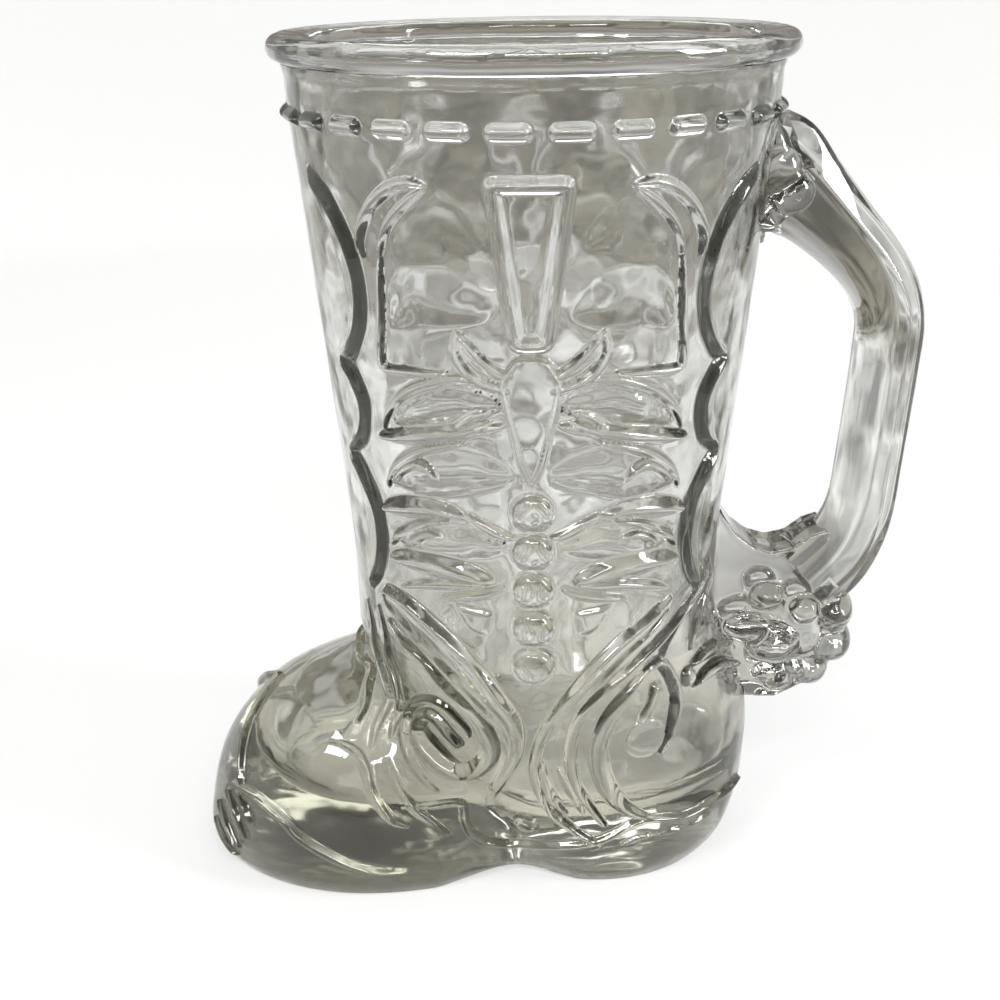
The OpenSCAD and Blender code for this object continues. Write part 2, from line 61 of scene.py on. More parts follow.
leg = {
    "ankleRadius": 33.8,
    "neckRadius": 42.2,
    "taperStart": 60,
    "taperEnd": 143,
    "startEase": 4,
    "endEase": 1,
    "wall": 4.4,
    "coveHeight": 2.2,
    "coveDepth": 0.6,
    "chillDepth": 0.6,
    "bottomChill": 0.9,
    "innerRows": 40,
}
foot = {
    "instepZ": 38.3,
    "toeReach": 65.8,
    "ballX": 31.8,
    "ballBack": 38,
    "ballHalf": 30.3,
    "heelReach": 41.3,
    "blend": 8,
    "blendLeast": 0.4,
    "blendSlope": 0.5,
    "toeTop": 1.12,
    "toeLeast": 0.4,
    "archRise": 1.4,
    "archHalf": 13,
    "breastX": -6,
    "soleZ": 6,
    "heelZ": 10,
    "floorZ": 12,
    "ankleEase": 0.03,
    "corner": 9,
    "toeWall": 7.5,
    "vampWall": 5,
    "grainOver": 1.1,   # times the arch's rise, and how far down a grained face looks
    "grainTilt": -0.8,
    "middleX": -12,     # where the rings under the sole and on the cavity's floor close
    "innerRows": 46,
    "innerEase": 1.15,
    "underShares": [0.2, 0.4, 0.6, 0.78, 0.9, 0.97],
    "floorShares": [0.9, 0.7, 0.5, 0.3, 0.15],
    "smoothing": 0.035,
    "tableSteps": 400,
    # share of the ankle's height, then bulge, half width, front reach and setback shares
    "counter": [
        [0, 0.28, 0.75, 0.45, 0.27],
        [0.03, 0.52, 0.79, 0.45, 0.27],
        [0.17, 0.80, 0.82, 0.46, 0.22],
        [0.30, 0.93, 0.85, 0.55, 0.16],
        [0.50, 1, 0.895, 0.77, 0.08],
        [0.65, 0.92, 0.925, 0.90, 0.04],
        [0.83, 0.55, 0.955, 0.94, 0.01],
        [0.93, 0.24, 0.98, 0.975, 0],
        [1, 0, 1, 1, 0],
    ],
    # share of the instep's height, then reach and half width shares
    "toe": [
        [0, 0.975, 0.95],
        [0.04, 1, 1],
        [0.2, 0.985, 1],
        [0.31, 0.972, 0.985],
        [0.43, 0.95, 0.94],
        [0.55, 0.913, 0.865],
        [0.666, 0.862, 0.77],
        [0.78, 0.796, 0.64],
        [0.89, 0.66, 0.46],
        [1, 0.5, 0.2],
        [1.12, 0.38, 0.08],
    ],
}


def eased(rows):
    # a table of shares by height, with its corners smoothed
    rows = np.array(rows, float)
    spread = foot["smoothing"]
    at = np.linspace(rows[0, 0], rows[-1, 0], foot["tableSteps"])
    step = at[1] - at[0]
    reach = int(3 * spread / step)
    weights = np.exp(-0.5 * (np.arange(-reach, reach + 1) * step / spread) ** 2)
    weights /= weights.sum()
    columns = []
    for k in range(1, rows.shape[1]):
        line = np.interp(at, rows[:, 0], rows[:, k])
        line = np.pad(line, reach, mode="reflect", reflect_type="odd")
        columns.append(np.convolve(line, weights, "valid"))
    return at, columns


counterTable = eased(foot["counter"])
toeTable = eased(foot["toe"])


def column(table, at, k):
    return np.interp(at, table[0], table[1][k])


def softRamp(t, ease):
    return ease * np.logaddexp(0, t / ease)


def softStep(t):
    t = np.clip(t, 0, 1)
    return t * t * (3 - 2 * t)


def legRadius(z):
    slope = (leg["neckRadius"] - leg["ankleRadius"]) / (leg["taperEnd"] - leg["taperStart"])
    rise = softRamp(z - leg["taperStart"], leg["startEase"])
    rise = rise - softRamp(z - leg["taperEnd"], leg["endEase"])
    cove = softStep((z - rimZ + leg["coveHeight"]) / leg["coveHeight"]) * leg["coveDepth"]
    return leg["ankleRadius"] + slope * rise + cove


def oval(phi, centre, front, back, half):
    # how far an egg shape reaches from the axis, where its widest place lies off the axis
    c = np.sin(phi)
    s = np.abs(np.cos(phi))
    a = np.where(c * half > s * centre, back - centre, front + centre)
    k = c * centre / a / a
    q = c * c / a / a + s * s / half / half
    return (k + np.sqrt(np.maximum(0, k * k - q * (centre * centre / a / a - 1)))) / q


def counterReach(phi, z, less):
    # eased just under the ankle, so that the foot starts straight down from the leg
    down = np.maximum(1 - z / ankleZ, 0)
    t = 1 - down**2 / (down + foot["ankleEase"] * (1 - down) + 1e-9)
    bulge = (foot["heelReach"] - leg["ankleRadius"]) * column(counterTable, t, 0)
    return oval(
        phi,
        foot["heelReach"] * column(counterTable, t, 3),
        leg["ankleRadius"] * column(counterTable, t, 2) - less,
        leg["ankleRadius"] + bulge - less,
        leg["ankleRadius"] * column(counterTable, t, 1) - less,
    )


def toeReach(phi, z, less):
    t = z / foot["instepZ"]
    front = foot["toeReach"] * column(toeTable, t, 0) - less
    front = np.maximum(front, foot["ballX"] + foot["toeLeast"])
    half = (foot["ballHalf"] - less) * column(toeTable, t, 1)
    reach = oval(phi, -foot["ballX"], front, foot["ballBack"] - foot["ballX"], half)
    return np.where(t > foot["toeTop"], 0, reach)


def melted(a, b, width):
    h = np.clip(0.5 + (a - b) / width / 2, 0, 1)
    return b + (a - b) * h + width * h * (1 - h)


def meltWidth(z):
    return np.clip((ankleZ - z) * foot["blendSlope"], foot["blendLeast"], foot["blend"])


def outerRadius(degrees, z):
    phi, z = np.broadcast_arrays(np.radians(degrees), np.asarray(z, float))
    low = melted(counterReach(phi, z, 0), toeReach(phi, z, 0), meltWidth(z))
    return np.where(z >= ankleZ, legRadius(z), low)


def cavityRadius(degrees, z):
    phi, z = np.broadcast_arrays(np.radians(degrees), np.asarray(z, float))
    up = np.clip(foot["floorZ"] + foot["corner"] - z, 0, foot["corner"])
    toe = toeReach(phi, z + foot["vampWall"], foot["toeWall"])
    low = melted(counterReach(phi, z, leg["wall"]), toe, meltWidth(z))
    low = low - foot["corner"] + np.sqrt(foot["corner"] ** 2 - up * up)
    return np.where(z >= ankleZ, legRadius(z) - leg["wall"], low)


def placed(degrees, z, radius):
    phi = np.radians(degrees)
    return np.stack([legX + radius * np.sin(phi), -radius * np.cos(phi), z + 0 * radius], -1)


def onGlass(degrees, z):
    return placed(degrees, z, outerRadius(degrees, z))


# one sheet is wrapped round the whole outside; a cell of it is cut finer under the relief

sheet = {
    "columns": 384,
    "footRows": 112,
    "legRows": 164,
    "cuts": 2,
    "seam": 90,
    "mirror": -2.3,     # direction of the ornament's middle line
    "least": 0.005,     # lower relief than this has no island
    "proud": 1.5,       # how many gaps an island's edge stands proud
    # share of the foot's rows, and the height there
    "footLevels": [[0, 0], [0.07, 1.6], [0.38, 20], [1, ankleZ]],
}
rows = sheet["footRows"] + sheet["legRows"]
columns = sheet["columns"]
finer = sheet["cuts"] + 1
levels = np.concatenate([
    np.interp(np.arange(sheet["footRows"]) / sheet["footRows"], *zip(*sheet["footLevels"])),
    np.linspace(ankleZ, rimZ, sheet["legRows"] + 1),
])
fineLevels = np.interp(np.arange(rows * finer + 1) / finer, np.arange(rows + 1), levels)
fineTurns = sheet["seam"] - 360 + 360 * np.arange(columns * finer + 1) / (columns * finer)
turnGrid, levelGrid = np.meshgrid(fineTurns, fineLevels)


def archLift(x, z):
    across = (x - legX - foot["breastX"]) / foot["archHalf"]
    return foot["archRise"] * np.clip(1 - across**2, 0, 1) * np.clip(1 - z / foot["soleZ"], 0, 1)


skin = onGlass(turnGrid, levelGrid)
skin[..., 2] += archLift(skin[..., 0], skin[..., 2])
alongTurn = np.gradient(np.concatenate([skin[:, -2:-1], skin, skin[:, 1:2]], 1), axis=1)[:, 1:-1]
outward = np.cross(alongTurn, np.gradient(skin, axis=0))
outward /= np.linalg.norm(outward, axis=-1, keepdims=True)
# both sides carry the same relief, so a point on the far side looks at its mirror image
mirrored = skin * [1, 0, 1] - np.abs(skin) * [0, 1, 0]
nearTurn = np.degrees(np.arctan2(mirrored[..., 0] - legX, -mirrored[..., 1]))
sideTurn = sheet["mirror"]
reliefNodes = [
    "stitches", "pull_straps", "skulls", "studs", "rib_darts",
    "ankle_bands", "scrolls", "scallop_borders", "foot_folds",
]
heights = {name: np.zeros(levelGrid.shape) for name in ["glass"] + reliefNodes}
print("outline ready")


def smoothPath(points, perStep):
    points = np.array(points, float)
    last = len(points) - 1
    path = []
    for i in range(last):
        a, b, c, d = (points[min(max(j, 0), last)] for j in (i - 1, i, i + 1, i + 2))
        for f in np.arange(perStep) / perStep:
            turn = (2 * a - 5 * b + 4 * c - d) * f * f + (3 * b - a - 3 * c + d) * f**3
            path.append(b + ((c - a) * f + turn) / 2)
    return np.array(path + [points[-1]])


ribForm = {
    "domePower": 2.4,
    "softPower": 1.5,
    "dip": 0.4,         # of a lined band, along its middle
    "dipFrom": 0.1,
    "dipSpan": 0.45,
    "taper": 0.6,       # share of its greatest width under which a rib sinks
    "margin": 0.3,
    "least": 0.05,      # half width at a pointed end
    "dotRun": 0.05,     # degrees from one end of a round spot's line to the other
    "swellEnds": 0.12,
    "swellPower": 0.6,
}


def raised(q, half, form, edge):
    # share of the rise at a share q of the half width
    if form == "dome":
        return np.sqrt(np.clip(1 - q ** ribForm["domePower"], 0, 1))
    if form == "round":
        return np.clip(1 - q * q, 0, 1)
    if form == "soft":
        return np.clip(1 - q * q, 0, 1) ** ribForm["softPower"]
    flat = softStep((1 - q) * half / edge)
    if form == "lined":
        dip = ribForm["dip"]
        return flat * (1 - dip + dip * softStep((q - ribForm["dipFrom"]) / ribForm["dipSpan"]))
    return flat


def rib(node, points, rise, form="flat", edge=1.1, perStep=6):
    # points are direction, height and half width; the rib follows a smooth line through them
    path = smoothPath(points, perStep)
    line = onGlass(path[:, 0], path[:, 1])
    half = np.maximum(path[:, 2], ribForm["least"])
    reach = half.max() + ribForm["margin"]
    low, high = line.min(0) - reach, line.max(0) + reach
    near = np.all((mirrored >= low) & (mirrored <= high), axis=-1)
    spots = mirrored[near]
    q = np.full(len(spots), np.inf)
    wide = np.full(len(spots), 1.0)
    for a, b, ha, hb in zip(line[:-1], line[1:], half[:-1], half[1:]):
        run = b - a
        t = np.clip((spots - a) @ run / max(run @ run, 1e-9), 0, 1)
        here = ha + (hb - ha) * t
        share = np.linalg.norm(spots - a - t[:, None] * run, axis=1) / here
        closer = share < q
        q[closer] = share[closer]
        wide[closer] = here[closer]
    lower = np.minimum(1, wide / half.max() / ribForm["taper"])
    h = rise * lower * raised(np.minimum(q, 1), wide, form, edge)
    heights[node][near] = np.maximum(heights[node][near], h)


def boss(node, turn, z, half, rise, form="dome", edge=1.1):
    # a round raised spot
    run = ribForm["dotRun"]
    rib(node, [[turn, z, half], [turn + run, z, half]], rise, form, edge, perStep=1)


def bothWays(points):
    # the same line on the toe's and on the heel's side of the ornament's middle
    for m in (-1, 1):
        yield [[sideTurn + m * p[0], *p[1:]] for p in points]


def swelling(line, half, ends=ribForm["swellEnds"]):
    # half widths that grow from a share at the ends to the whole at the middle
    count = len(line) - 1
    power = ribForm["swellPower"]
    grow = [max(ends, math.sin(math.pi * i / count) ** power) for i in range(count + 1)]
    return [[*p, half * g] for p, g in zip(line, grow)]


def patch(node, outline, rise, edge=1.0, ring=None):
    # outline in millimetres along the leg and up, about the ornament's middle
    outline = np.array(outline, float)
    across = np.radians(nearTurn - sideTurn) * legRadius(levelGrid)
    low, high = outline.min(0) - 1, outline.max(0) + 1
    near = (across > low[0]) & (across < high[0]) & (levelGrid > low[1]) & (levelGrid < high[1])
    spots = np.stack([across[near], levelGrid[near]], -1)
    depth = np.full(len(spots), np.inf)
    inside = np.zeros(len(spots), bool)
    for a, b in zip(outline, np.roll(outline, -1, 0)):
        run = b - a
        t = np.clip((spots - a) @ run / max(run @ run, 1e-9), 0, 1)
        depth = np.minimum(depth, np.linalg.norm(spots - a - t[:, None] * run, axis=1))
        crosses = (a[1] > spots[:, 1]) != (b[1] > spots[:, 1])
        with np.errstate(divide="ignore", invalid="ignore"):
            at = a[0] + run[0] * (spots[:, 1] - a[1]) / run[1]
        inside ^= crosses & (spots[:, 0] < at)
    depth = np.where(inside, depth, 0)
    h = rise * softStep(depth / edge)
    if ring:
        h = np.minimum(h, rise * softStep((ring - depth) / edge))
    heights[node][near] = np.maximum(heights[node][near], h)


def roundedOutline(corners, cuts, perCorner=4, most=0.5, midway=False):
    # a corner gives way to a curve that starts its cut before it, at most a share of the side
    corners = np.array(corners, float)
    cuts = np.broadcast_to(cuts, len(corners))
    points = []
    for i, corner in enumerate(corners):
        before = corners[i - 1] - corner
        after = corners[(i + 1) % len(corners)] - corner
        a = corner + before * min(most, cuts[i] / np.linalg.norm(before))
        b = corner + after * min(most, cuts[i] / np.linalg.norm(after))
        for t in np.linspace(0, 1, perCorner + 1):
            points.append(a * (1 - t) ** 2 + corner * 2 * t * (1 - t) + b * t * t)
        if midway:
            points.append((b + corner + after * 0.5) / 2)
    return points


# the relief, node by node

stitch = {"count": 28, "z": 139.5, "length": 7.2, "half": 1.45, "rise": 1.4}


def raiseStitches():
    pitch = 360 / stitch["count"]
    turn = math.degrees((stitch["length"] / 2 - stitch["half"]) / legRadius(stitch["z"]))
    for i in range(stitch["count"]):
        middle = sheet["seam"] - pitch * (i + 0.5)
        if -90 < middle < 90:
            ends = [[middle + s * turn, stitch["z"], stitch["half"]] for s in (-1, 0, 1)]
            rib("stitches", ends, stitch["rise"], "round")


strap = {
    "topZ": 133.4, "endZ": 105.4, "topHalf": 7.4, "endHalf": 3.6,
    "edge": 3.3, "rise": 1.7, "corner": 2.5, "round": 1.4,
}


def raiseStraps():
    corners = [
        [-strap["topHalf"], strap["topZ"]], [strap["topHalf"], strap["topZ"]],
        [strap["endHalf"], strap["endZ"]], [-strap["endHalf"], strap["endZ"]],
    ]
    outline = roundedOutline(corners, strap["corner"])
    patch("pull_straps", outline, strap["rise"], edge=strap["round"], ring=strap["edge"])


skull = {
    "rise": 1.9,
    "snoutCut": 2,
    "noseCut": 1,
    "snoutShare": 0.72,
    "snoutEdge": 1.3,
    "lip": 1.9,
    "lipEdge": 0.9,
    "noseRise": 0.25,
    "noseEdge": 2.5,
    "snout": [
        [-2.6, 105.5], [-4.2, 103], [-5.3, 101], [-5.0, 97.5], [-3.6, 92], [-2.4, 86.5],
        [-0.7, 82.5], [0.7, 82.5], [2.4, 86.5], [3.6, 92], [5.0, 97.5], [5.3, 101],
        [4.2, 103], [2.6, 105.5],
    ],
    "nose": [[-1.2, 95], [1.2, 95], [0.8, 87], [-0.8, 87]],
    "horn": [[5.4, 99.6, 1.3], [7.6, 99.8, 1.1], [12.9, 101, 1.1], [16.2, 103, 1.1],
             [17.9, 105.6, 1.0], [17.3, 108.6, 0.6]],
    "hornTop": [[4.6, 102.2, 1.2], [6.9, 102, 1.0], [11.1, 104.1, 0.9], [14.3, 106.5, 0.8],
                [17.3, 108.6, 0.5]],
    "hornRise": 1.6,
    "web": [[6, 100.9, 1.4], [12, 102.6, 1.3], [15.6, 104.8, 1.0], [17, 106.8, 0.6]],
    "webRise": 0.5,
}


def raiseSkulls():
    snout = roundedOutline(skull["snout"], skull["snoutCut"])
    nose = roundedOutline(skull["nose"], skull["noseCut"])
    patch("skulls", snout, skull["rise"] * skull["snoutShare"], edge=skull["snoutEdge"])
    patch("skulls", snout, skull["rise"], edge=skull["lipEdge"], ring=skull["lip"])
    patch("skulls", nose, skull["rise"] + skull["noseRise"], edge=skull["noseEdge"])
    for name in ("horn", "hornTop"):
        for line in bothWays(skull[name]):
            rib("skulls", line, skull["hornRise"], "round")
    for line in bothWays(skull["web"]):
        rib("skulls", line, skull["webRise"])


stud = {
    "count": 5, "z": 49.1, "pitch": 7.2, "radius": 3.3, "rise": 2.2,
    "ring": 0.7, "ringRise": 0.3, "ringEdge": 0.6,
}


def raiseStuds():
    for i in range(stud["count"]):
        z = stud["z"] + i * stud["pitch"]
        wide = stud["radius"] + stud["ring"]
        boss("studs", sideTurn, z, stud["radius"], stud["rise"])
        boss("studs", sideTurn, z, wide, stud["ringRise"], "flat", stud["ringEdge"])


darts = {
    "rise": 1.9,
    "leaves": [
        [[9.8, 93.9], [15.5, 92.3], [23.2, 91.1], [31.5, 90], [38.3, 89.1], [44, 88.6]],
        [[18.5, 76.9], [25.9, 77.3], [34, 76.7], [41, 75.8], [45.8, 75]],
        [[11.3, 64.8], [17.7, 65.8], [25.6, 66.5], [35.3, 66.5], [46.1, 65.5]],
    ],
    "leafHalf": [1.9, 2.2, 2.8],
    # outlines of the upper leaf and of the panel below it, with half widths
    "edges": [
        [[23.1, 131.5, 0.5], [26.9, 131.7, 1.0], [31.6, 130.6, 1.2], [36.6, 128.1, 1.2],
         [40.6, 124.7, 1.2], [42.4, 121.9, 1.0], [41.7, 119.3, 0.5]],
        [[23.4, 130.7, 0.4], [26.4, 129.2, 0.8], [29.6, 127.3, 0.9], [32.4, 125.3, 0.9],
         [34.7, 122.8, 0.8], [36.1, 119.8, 0.4]],
        [[36.1, 119.8, 0.4], [37.2, 114.4, 0.8], [38.3, 108.8, 1.0], [39.5, 103.6, 1.0],
         [39, 101.3, 1.0], [36.1, 100.9, 1.0], [30.9, 101.1, 1.0], [25.3, 101.3, 0.8],
         [20.8, 101.7, 0.4]],
    ],
    "edgeRise": 1.2,
    "corner": [[10.5, 59.6], [25, 60.4], [19, 54.6], [13, 53.8]],
    "cornerRise": 0.9,
    "cornerEdge": 1.6,
    "cornerCut": 2,
    # low swells that fill the panels between the darts
    "swells": [
        [[9, 96.6], [18, 96.4], [28, 94.6], [36, 92.4], 3.4, 1.0],
        [[7, 84.6], [17, 85], [28, 83.4], [39, 81.4], 4.8, 1.1],
        [[9, 71.4], [18, 71.6], [29, 70.6], [41, 70.8], 3.8, 1.0],
        [[12, 112], [20, 113.6], [27, 114], [33, 110], 5.4, 0.7],
        [[14, 123], [20, 125], [26, 123], [30, 121], 4.6, 0.6],
    ],
    "wrinkles": [
        [[7.4, 99.3], [11.4, 100.4], [16.7, 100.9], [23.6, 100], [30.4, 98.2], [35.9, 95.6],
         [39.9, 92.4], [41.9, 89.4]],
        [[9.7, 95.7], [13.7, 94.8], [17.7, 93], [20.9, 91.8]],
        [[6.7, 93.4], [10.4, 92.8], [14.7, 92.2], [19.1, 91]],
        [[15.7, 90.1], [22.9, 89], [29.9, 87.4], [36.9, 84.5], [41, 81.5], [42.9, 79]],
        [[24.5, 82.9], [26.8, 84.8], [31.3, 85.2], [35.8, 83.4], [38.4, 80.9]],
        [[18.4, 77.3], [13.4, 75.4], [8.4, 73.8], [4.4, 73.3]],
        [[22.4, 75.4], [28.6, 74.5], [35.5, 72.6], [41, 70.3], [44.9, 67.8]],
        [[24.2, 72.4], [29.9, 72.5], [34.1, 70.7], [31.9, 70.2]],
        [[11.5, 64.5], [17.4, 63.7], [25.6, 63.1], [34.8, 61.9], [42.9, 60.1]],
        [[7.7, 64], [12.5, 62.5], [19.5, 61.4], [28, 60.3]],
    ],
    "wrinkleHalf": 1.2,
    "wrinkleRise": 1.1,
    "swellEnds": 0.35,
    "perStep": 3,
}


def raiseDart(node, line, rise, form):
    for side in bothWays(line):
        rib(node, side, rise, form, perStep=darts["perStep"])


def raiseDarts():
    def fuller(line):
        return smoothPath(line, darts["perStep"])

    for line, half in zip(darts["leaves"], darts["leafHalf"]):
        raiseDart("rib_darts", swelling(fuller(line), half), darts["rise"], "soft")
    for line in darts["edges"]:
        raiseDart("rib_darts", line, darts["edgeRise"], "round")
    for m in (-1, 1):
        corner = [[m * math.radians(p[0]) * leg["ankleRadius"], p[1]] for p in darts["corner"]]
        corner = roundedOutline(corner, darts["cornerCut"])
        patch("rib_darts", corner, darts["cornerRise"], edge=darts["cornerEdge"])
    for *line, half, rise in darts["swells"]:
        raiseDart("glass", swelling(fuller(line), half, darts["swellEnds"]), rise, "soft")
    for line in darts["wrinkles"]:
        swell = swelling(fuller(line), darts["wrinkleHalf"])
        raiseDart("rib_darts", swell, darts["wrinkleRise"], "soft")


bands = {
    "rise": 1.8,
    "toeEdge": 1.6,
    "heelEdge": 1.4,
    "ridgeShare": 0.8,
    "leafShare": 0.55,
    "toeSide": [[-50, 57.2, 2.6], [-42.1, 55.6, 3.6], [-31, 51, 4.1], [-21.3, 45.9, 4],
                [-15.1, 41.1, 3.6], [-10.4, 37, 3], [-8.7, 32.8, 2.4], [-10.4, 28.2, 2],
                [-14.5, 23.5, 1.6], [-20.3, 17.6, 1]],
    "heelSide": [[41.6, 57.3, 1.2], [33.8, 54.4, 2.4], [24.1, 50.8, 2.6], [15.2, 46, 2.6],
                 [7.7, 41, 2.2], [3.5, 37.7, 1.4]],
    "ridges": [
        [[59.2, 57.2, 0.5], [48.1, 54.1, 0.8], [37.9, 50.3, 1.1], [27.6, 46.5, 1.2],
         [18.1, 42.4, 1.2], [12.2, 38.2, 1.2], [9.9, 33.3, 1.2], [9.9, 27.9, 1.2],
         [12.2, 22.9, 1.1], [17, 18.4, 0.8], [22.2, 14, 0.5]],
        [[9.6, 40.5, 0.5], [4.1, 38.5, 0.9], [0.7, 34.9, 1.2], [-1.3, 30.8, 1.2], [-2, 26.8, 1.2],
         [0.1, 21.7, 1.2], [4.7, 17.1, 1.2], [12, 13.1, 0.9], [21.4, 9.6, 0.5]],
    ],
    "leaves": [
        [[0.7, 28.6, 0.5], [1.4, 24.6, 1.2], [4.2, 20.4, 1.2], [8.9, 17.2, 0.5]],
        [[6, 27.3, 0.5], [9.1, 23.7, 1.2], [12.8, 19.9, 1.2], [14.7, 17.1, 0.5]],
    ],
    "strap": [
        [[53.1, 42.5, 0.7], [62, 42.7, 1.5], [74.9, 41.1, 1.5], [90, 37.4, 1.5]],
        [[52.6, 38.8, 0.7], [59.1, 39.4, 1.5], [69.2, 38.6, 1.5], [84.1, 34, 0.7]],
    ],
    "creases": [
        [[69.3, 56.2, 0.5], [60.9, 53.2, 1.1], [55.7, 49.5, 1.1], [53.8, 45.4, 0.5]],
        [[57.2, 56.5, 0.5], [49.7, 54.2, 1], [43.6, 50.7, 1], [39.8, 47.6, 1], [40.6, 44.3, 0.5]],
    ],
}


def raiseBands():
    rise = bands["rise"]
    rib("ankle_bands", bands["toeSide"], rise, "lined", bands["toeEdge"])
    rib("ankle_bands", bands["heelSide"], rise, "lined", bands["heelEdge"])
    for line in bands["ridges"] + bands["strap"]:
        rib("ankle_bands", line, rise * bands["ridgeShare"], "round")
    for line in bands["leaves"] + bands["creases"]:
        rib("ankle_bands", line, rise * bands["leafShare"], "soft")


scroll = {
    "rise": 1.7,
    "tailShare": 0.7,
    "spiral": [[-50.9, 52, 0.8], [-44.9, 49.6, 1], [-36.8, 47.6, 1.3], [-30.3, 43.6, 1.5],
               [-25.1, 40.4, 1.7], [-20.5, 37.7, 1.8], [-17.3, 33.7, 1.9], [-16.6, 30.8, 1.9],
               [-18.9, 27.8, 1.9], [-24.5, 24.7, 1.9], [-31.3, 23.3, 1.9], [-36.9, 24.2, 1.9],
               [-41.2, 26, 1.8], [-44.9, 28.2, 1.7], [-46.6, 30.6, 1.6], [-43.4, 33.4, 1.5],
               [-38.2, 35.2, 1.5], [-34.6, 34.3, 1.4], [-31.5, 32.4, 1.4], [-28.3, 30.9, 1.2]],
    "tail": [[-36.5, 19.6, 0.5], [-40.7, 21.8, 0.8], [-45, 24.6, 1], [-49, 27.7, 1.1],
             [-51.2, 30.4, 1.1], [-49.6, 34, 1.1], [-42.8, 37.3, 1.1], [-36.1, 38.9, 1.1],
             [-31.2, 38.2, 1.1], [-27.5, 36.4, 1], [-24.2, 34.4, 0.8], [-23.8, 32.9, 0.5]],
    "hook": [[31.6, 44.7, 0.8], [26.6, 41.8, 1.2], [22.1, 38, 1.8], [19.2, 33.8, 1.9],
             [18.6, 29.6, 1.9], [20.3, 25.1, 1.9], [24, 20.7, 1.8], [29.1, 17.1, 1.3],
             [35.4, 14.6, 0.8]],
    "hookTop": [[31.6, 44.7, 0.6], [37.4, 46.4, 1.1], [42.2, 43.2, 1.4], [44.6, 38.9, 1.5],
                [43.8, 35.2, 1.4], [42, 31.5, 1.1], [39.1, 28.3, 0.6]],
    "knob": [[36.9, 41.1, 1.5], [35.5, 39, 1.2], [33.5, 36.3, 1.6]],
    # direction, height, radius and rise
    "boss": [-5.7, 13.5, 2.5, 1.5],
    "button": [50.4, 40.8, 1.9, 1.3],
    "disc": [33.7, 31.6, 4.0, 0.9],
    "foot": [[-50.2, 25.1, 0.5], [-47.4, 22.7, 0.9], [-44.1, 20, 1], [-40.6, 17.4, 1],
             [-36.4, 14.8, 0.9], [-32, 11.9, 0.5]],
}


def raiseScrolls():
    for name in ("spiral", "hook", "hookTop", "knob"):
        rib("scrolls", scroll[name], scroll["rise"], "round")
    for name in ("tail", "foot"):
        rib("scrolls", scroll[name], scroll["rise"] * scroll["tailShare"], "soft")
    for name in ("boss", "button", "disc"):
        boss("scrolls", *scroll[name])


border = {
    "rise": 1.6,
    "line": [[61.5, 131.4, 1.2], [54.5, 127.6, 2.4], [48.8, 121.6, 2.9], [46.2, 115, 2.9],
             [47, 108.4, 2.6], [51.8, 102.8, 2.1], [56.4, 100.8, 1.5], [52.8, 97.8, 2.4],
             [50, 93.2, 2.8], [52.4, 87.8, 2.5], [58.4, 83.6, 1.6], [54.6, 80, 2.4],
             [50.8, 74.6, 2.9], [50.4, 68, 2.8], [53.8, 61.6, 2.3], [59, 57.2, 1.2]],
    "edge": 2.1,
}


def raiseBorders():
    for side in bothWays(border["line"]):
        rib("scallop_borders", side, border["rise"], edge=border["edge"])


folds = {
    "rise": 1.3,
    "lines": [
        [[-65.8, 53, 0.5], [-62.6, 48.9, 1], [-61.5, 43.3, 1.3], [-61.4, 38.5, 1.3],
         [-60, 33.6, 1.3], [-57.1, 29.9, 1], [-54.6, 27.1, 0.5]],
        [[-57.5, 53.7, 0.5], [-53.6, 47.8, 1.1], [-51.9, 42.4, 1.3], [-52.6, 36.6, 1.3],
         [-54.4, 31.7, 1.1], [-52.7, 28.5, 0.5]],
        [[-91.6, 37.8, 0.5], [-76.3, 37.4, 1], [-68.3, 34.7, 1.1], [-63.5, 32.4, 1],
         [-61.1, 30.4, 0.5]],
        [[-62.2, 27.5, 0.4], [-59.3, 27.3, 0.8], [-55.9, 26.2, 1], [-52.7, 24, 1],
         [-49.9, 21, 1], [-46.7, 18, 0.9], [-43.3, 15.2, 0.7], [-40.4, 14.2, 0.4]],
        [[-75.2, 16, 0.5], [-70.6, 16.2, 1], [-66.2, 15.6, 1.3], [-61.9, 14, 1.3],
         [-57.9, 11.4, 1.3], [-53.7, 9.3, 1.3], [-49.9, 7.5, 1.2], [-45.3, 5.9, 0.9],
         [-40.1, 5.6, 0.5]],
        [[-95, 33.2, 0.4], [-84.7, 28.1, 0.9], [-80.6, 24.3, 1], [-76.1, 20, 1],
         [-73.1, 16.7, 0.5]],
        [[-78.6, 10.4, 0.5], [-75, 7.7, 1], [-70.9, 4.8, 0.5]],
        [[-76.3, 13.8, 0.5], [-72.3, 11.3, 1], [-69.1, 7.4, 0.5]],
        [[-73.7, 14.8, 0.4], [-70.5, 13.4, 0.9], [-68.2, 11.2, 0.4]],
        [[-79.2, 6.7, 0.4], [-75.5, 4.4, 0.9], [-71.4, 2.9, 0.4]],
        [[-42.2, 17.7, 0.5], [-37.2, 17.3, 0.7], [-31.6, 17.3, 0.8], [-29.2, 16.6, 0.9],
         [-28.3, 13.7, 1], [-25.8, 10.6, 1.1], [-20.8, 8.2, 1.1], [-11.2, 7.4, 1.1],
         [5.6, 9, 1.1], [17.9, 10, 1.1], [25.2, 11.5, 1.1], [33.5, 13.9, 1.1], [41.7, 13.4, 1],
         [49.6, 12.4, 0.9], [57, 12.8, 0.8], [66, 13, 0.7], [76, 12.6, 0.5]],
    ],
    "dimples": [
        [[28.8, 9.2, 0.4], [33.3, 9.8, 0.9], [37.3, 10.2, 0.4]],
        [[40.8, 9.9, 0.4], [44.9, 9.8, 0.9], [49.3, 9.7, 0.4]],
        [[52.4, 9.6, 0.4], [56.4, 9.8, 0.8], [60, 10, 0.4]],
    ],
    "dimpleRise": 0.7,
}


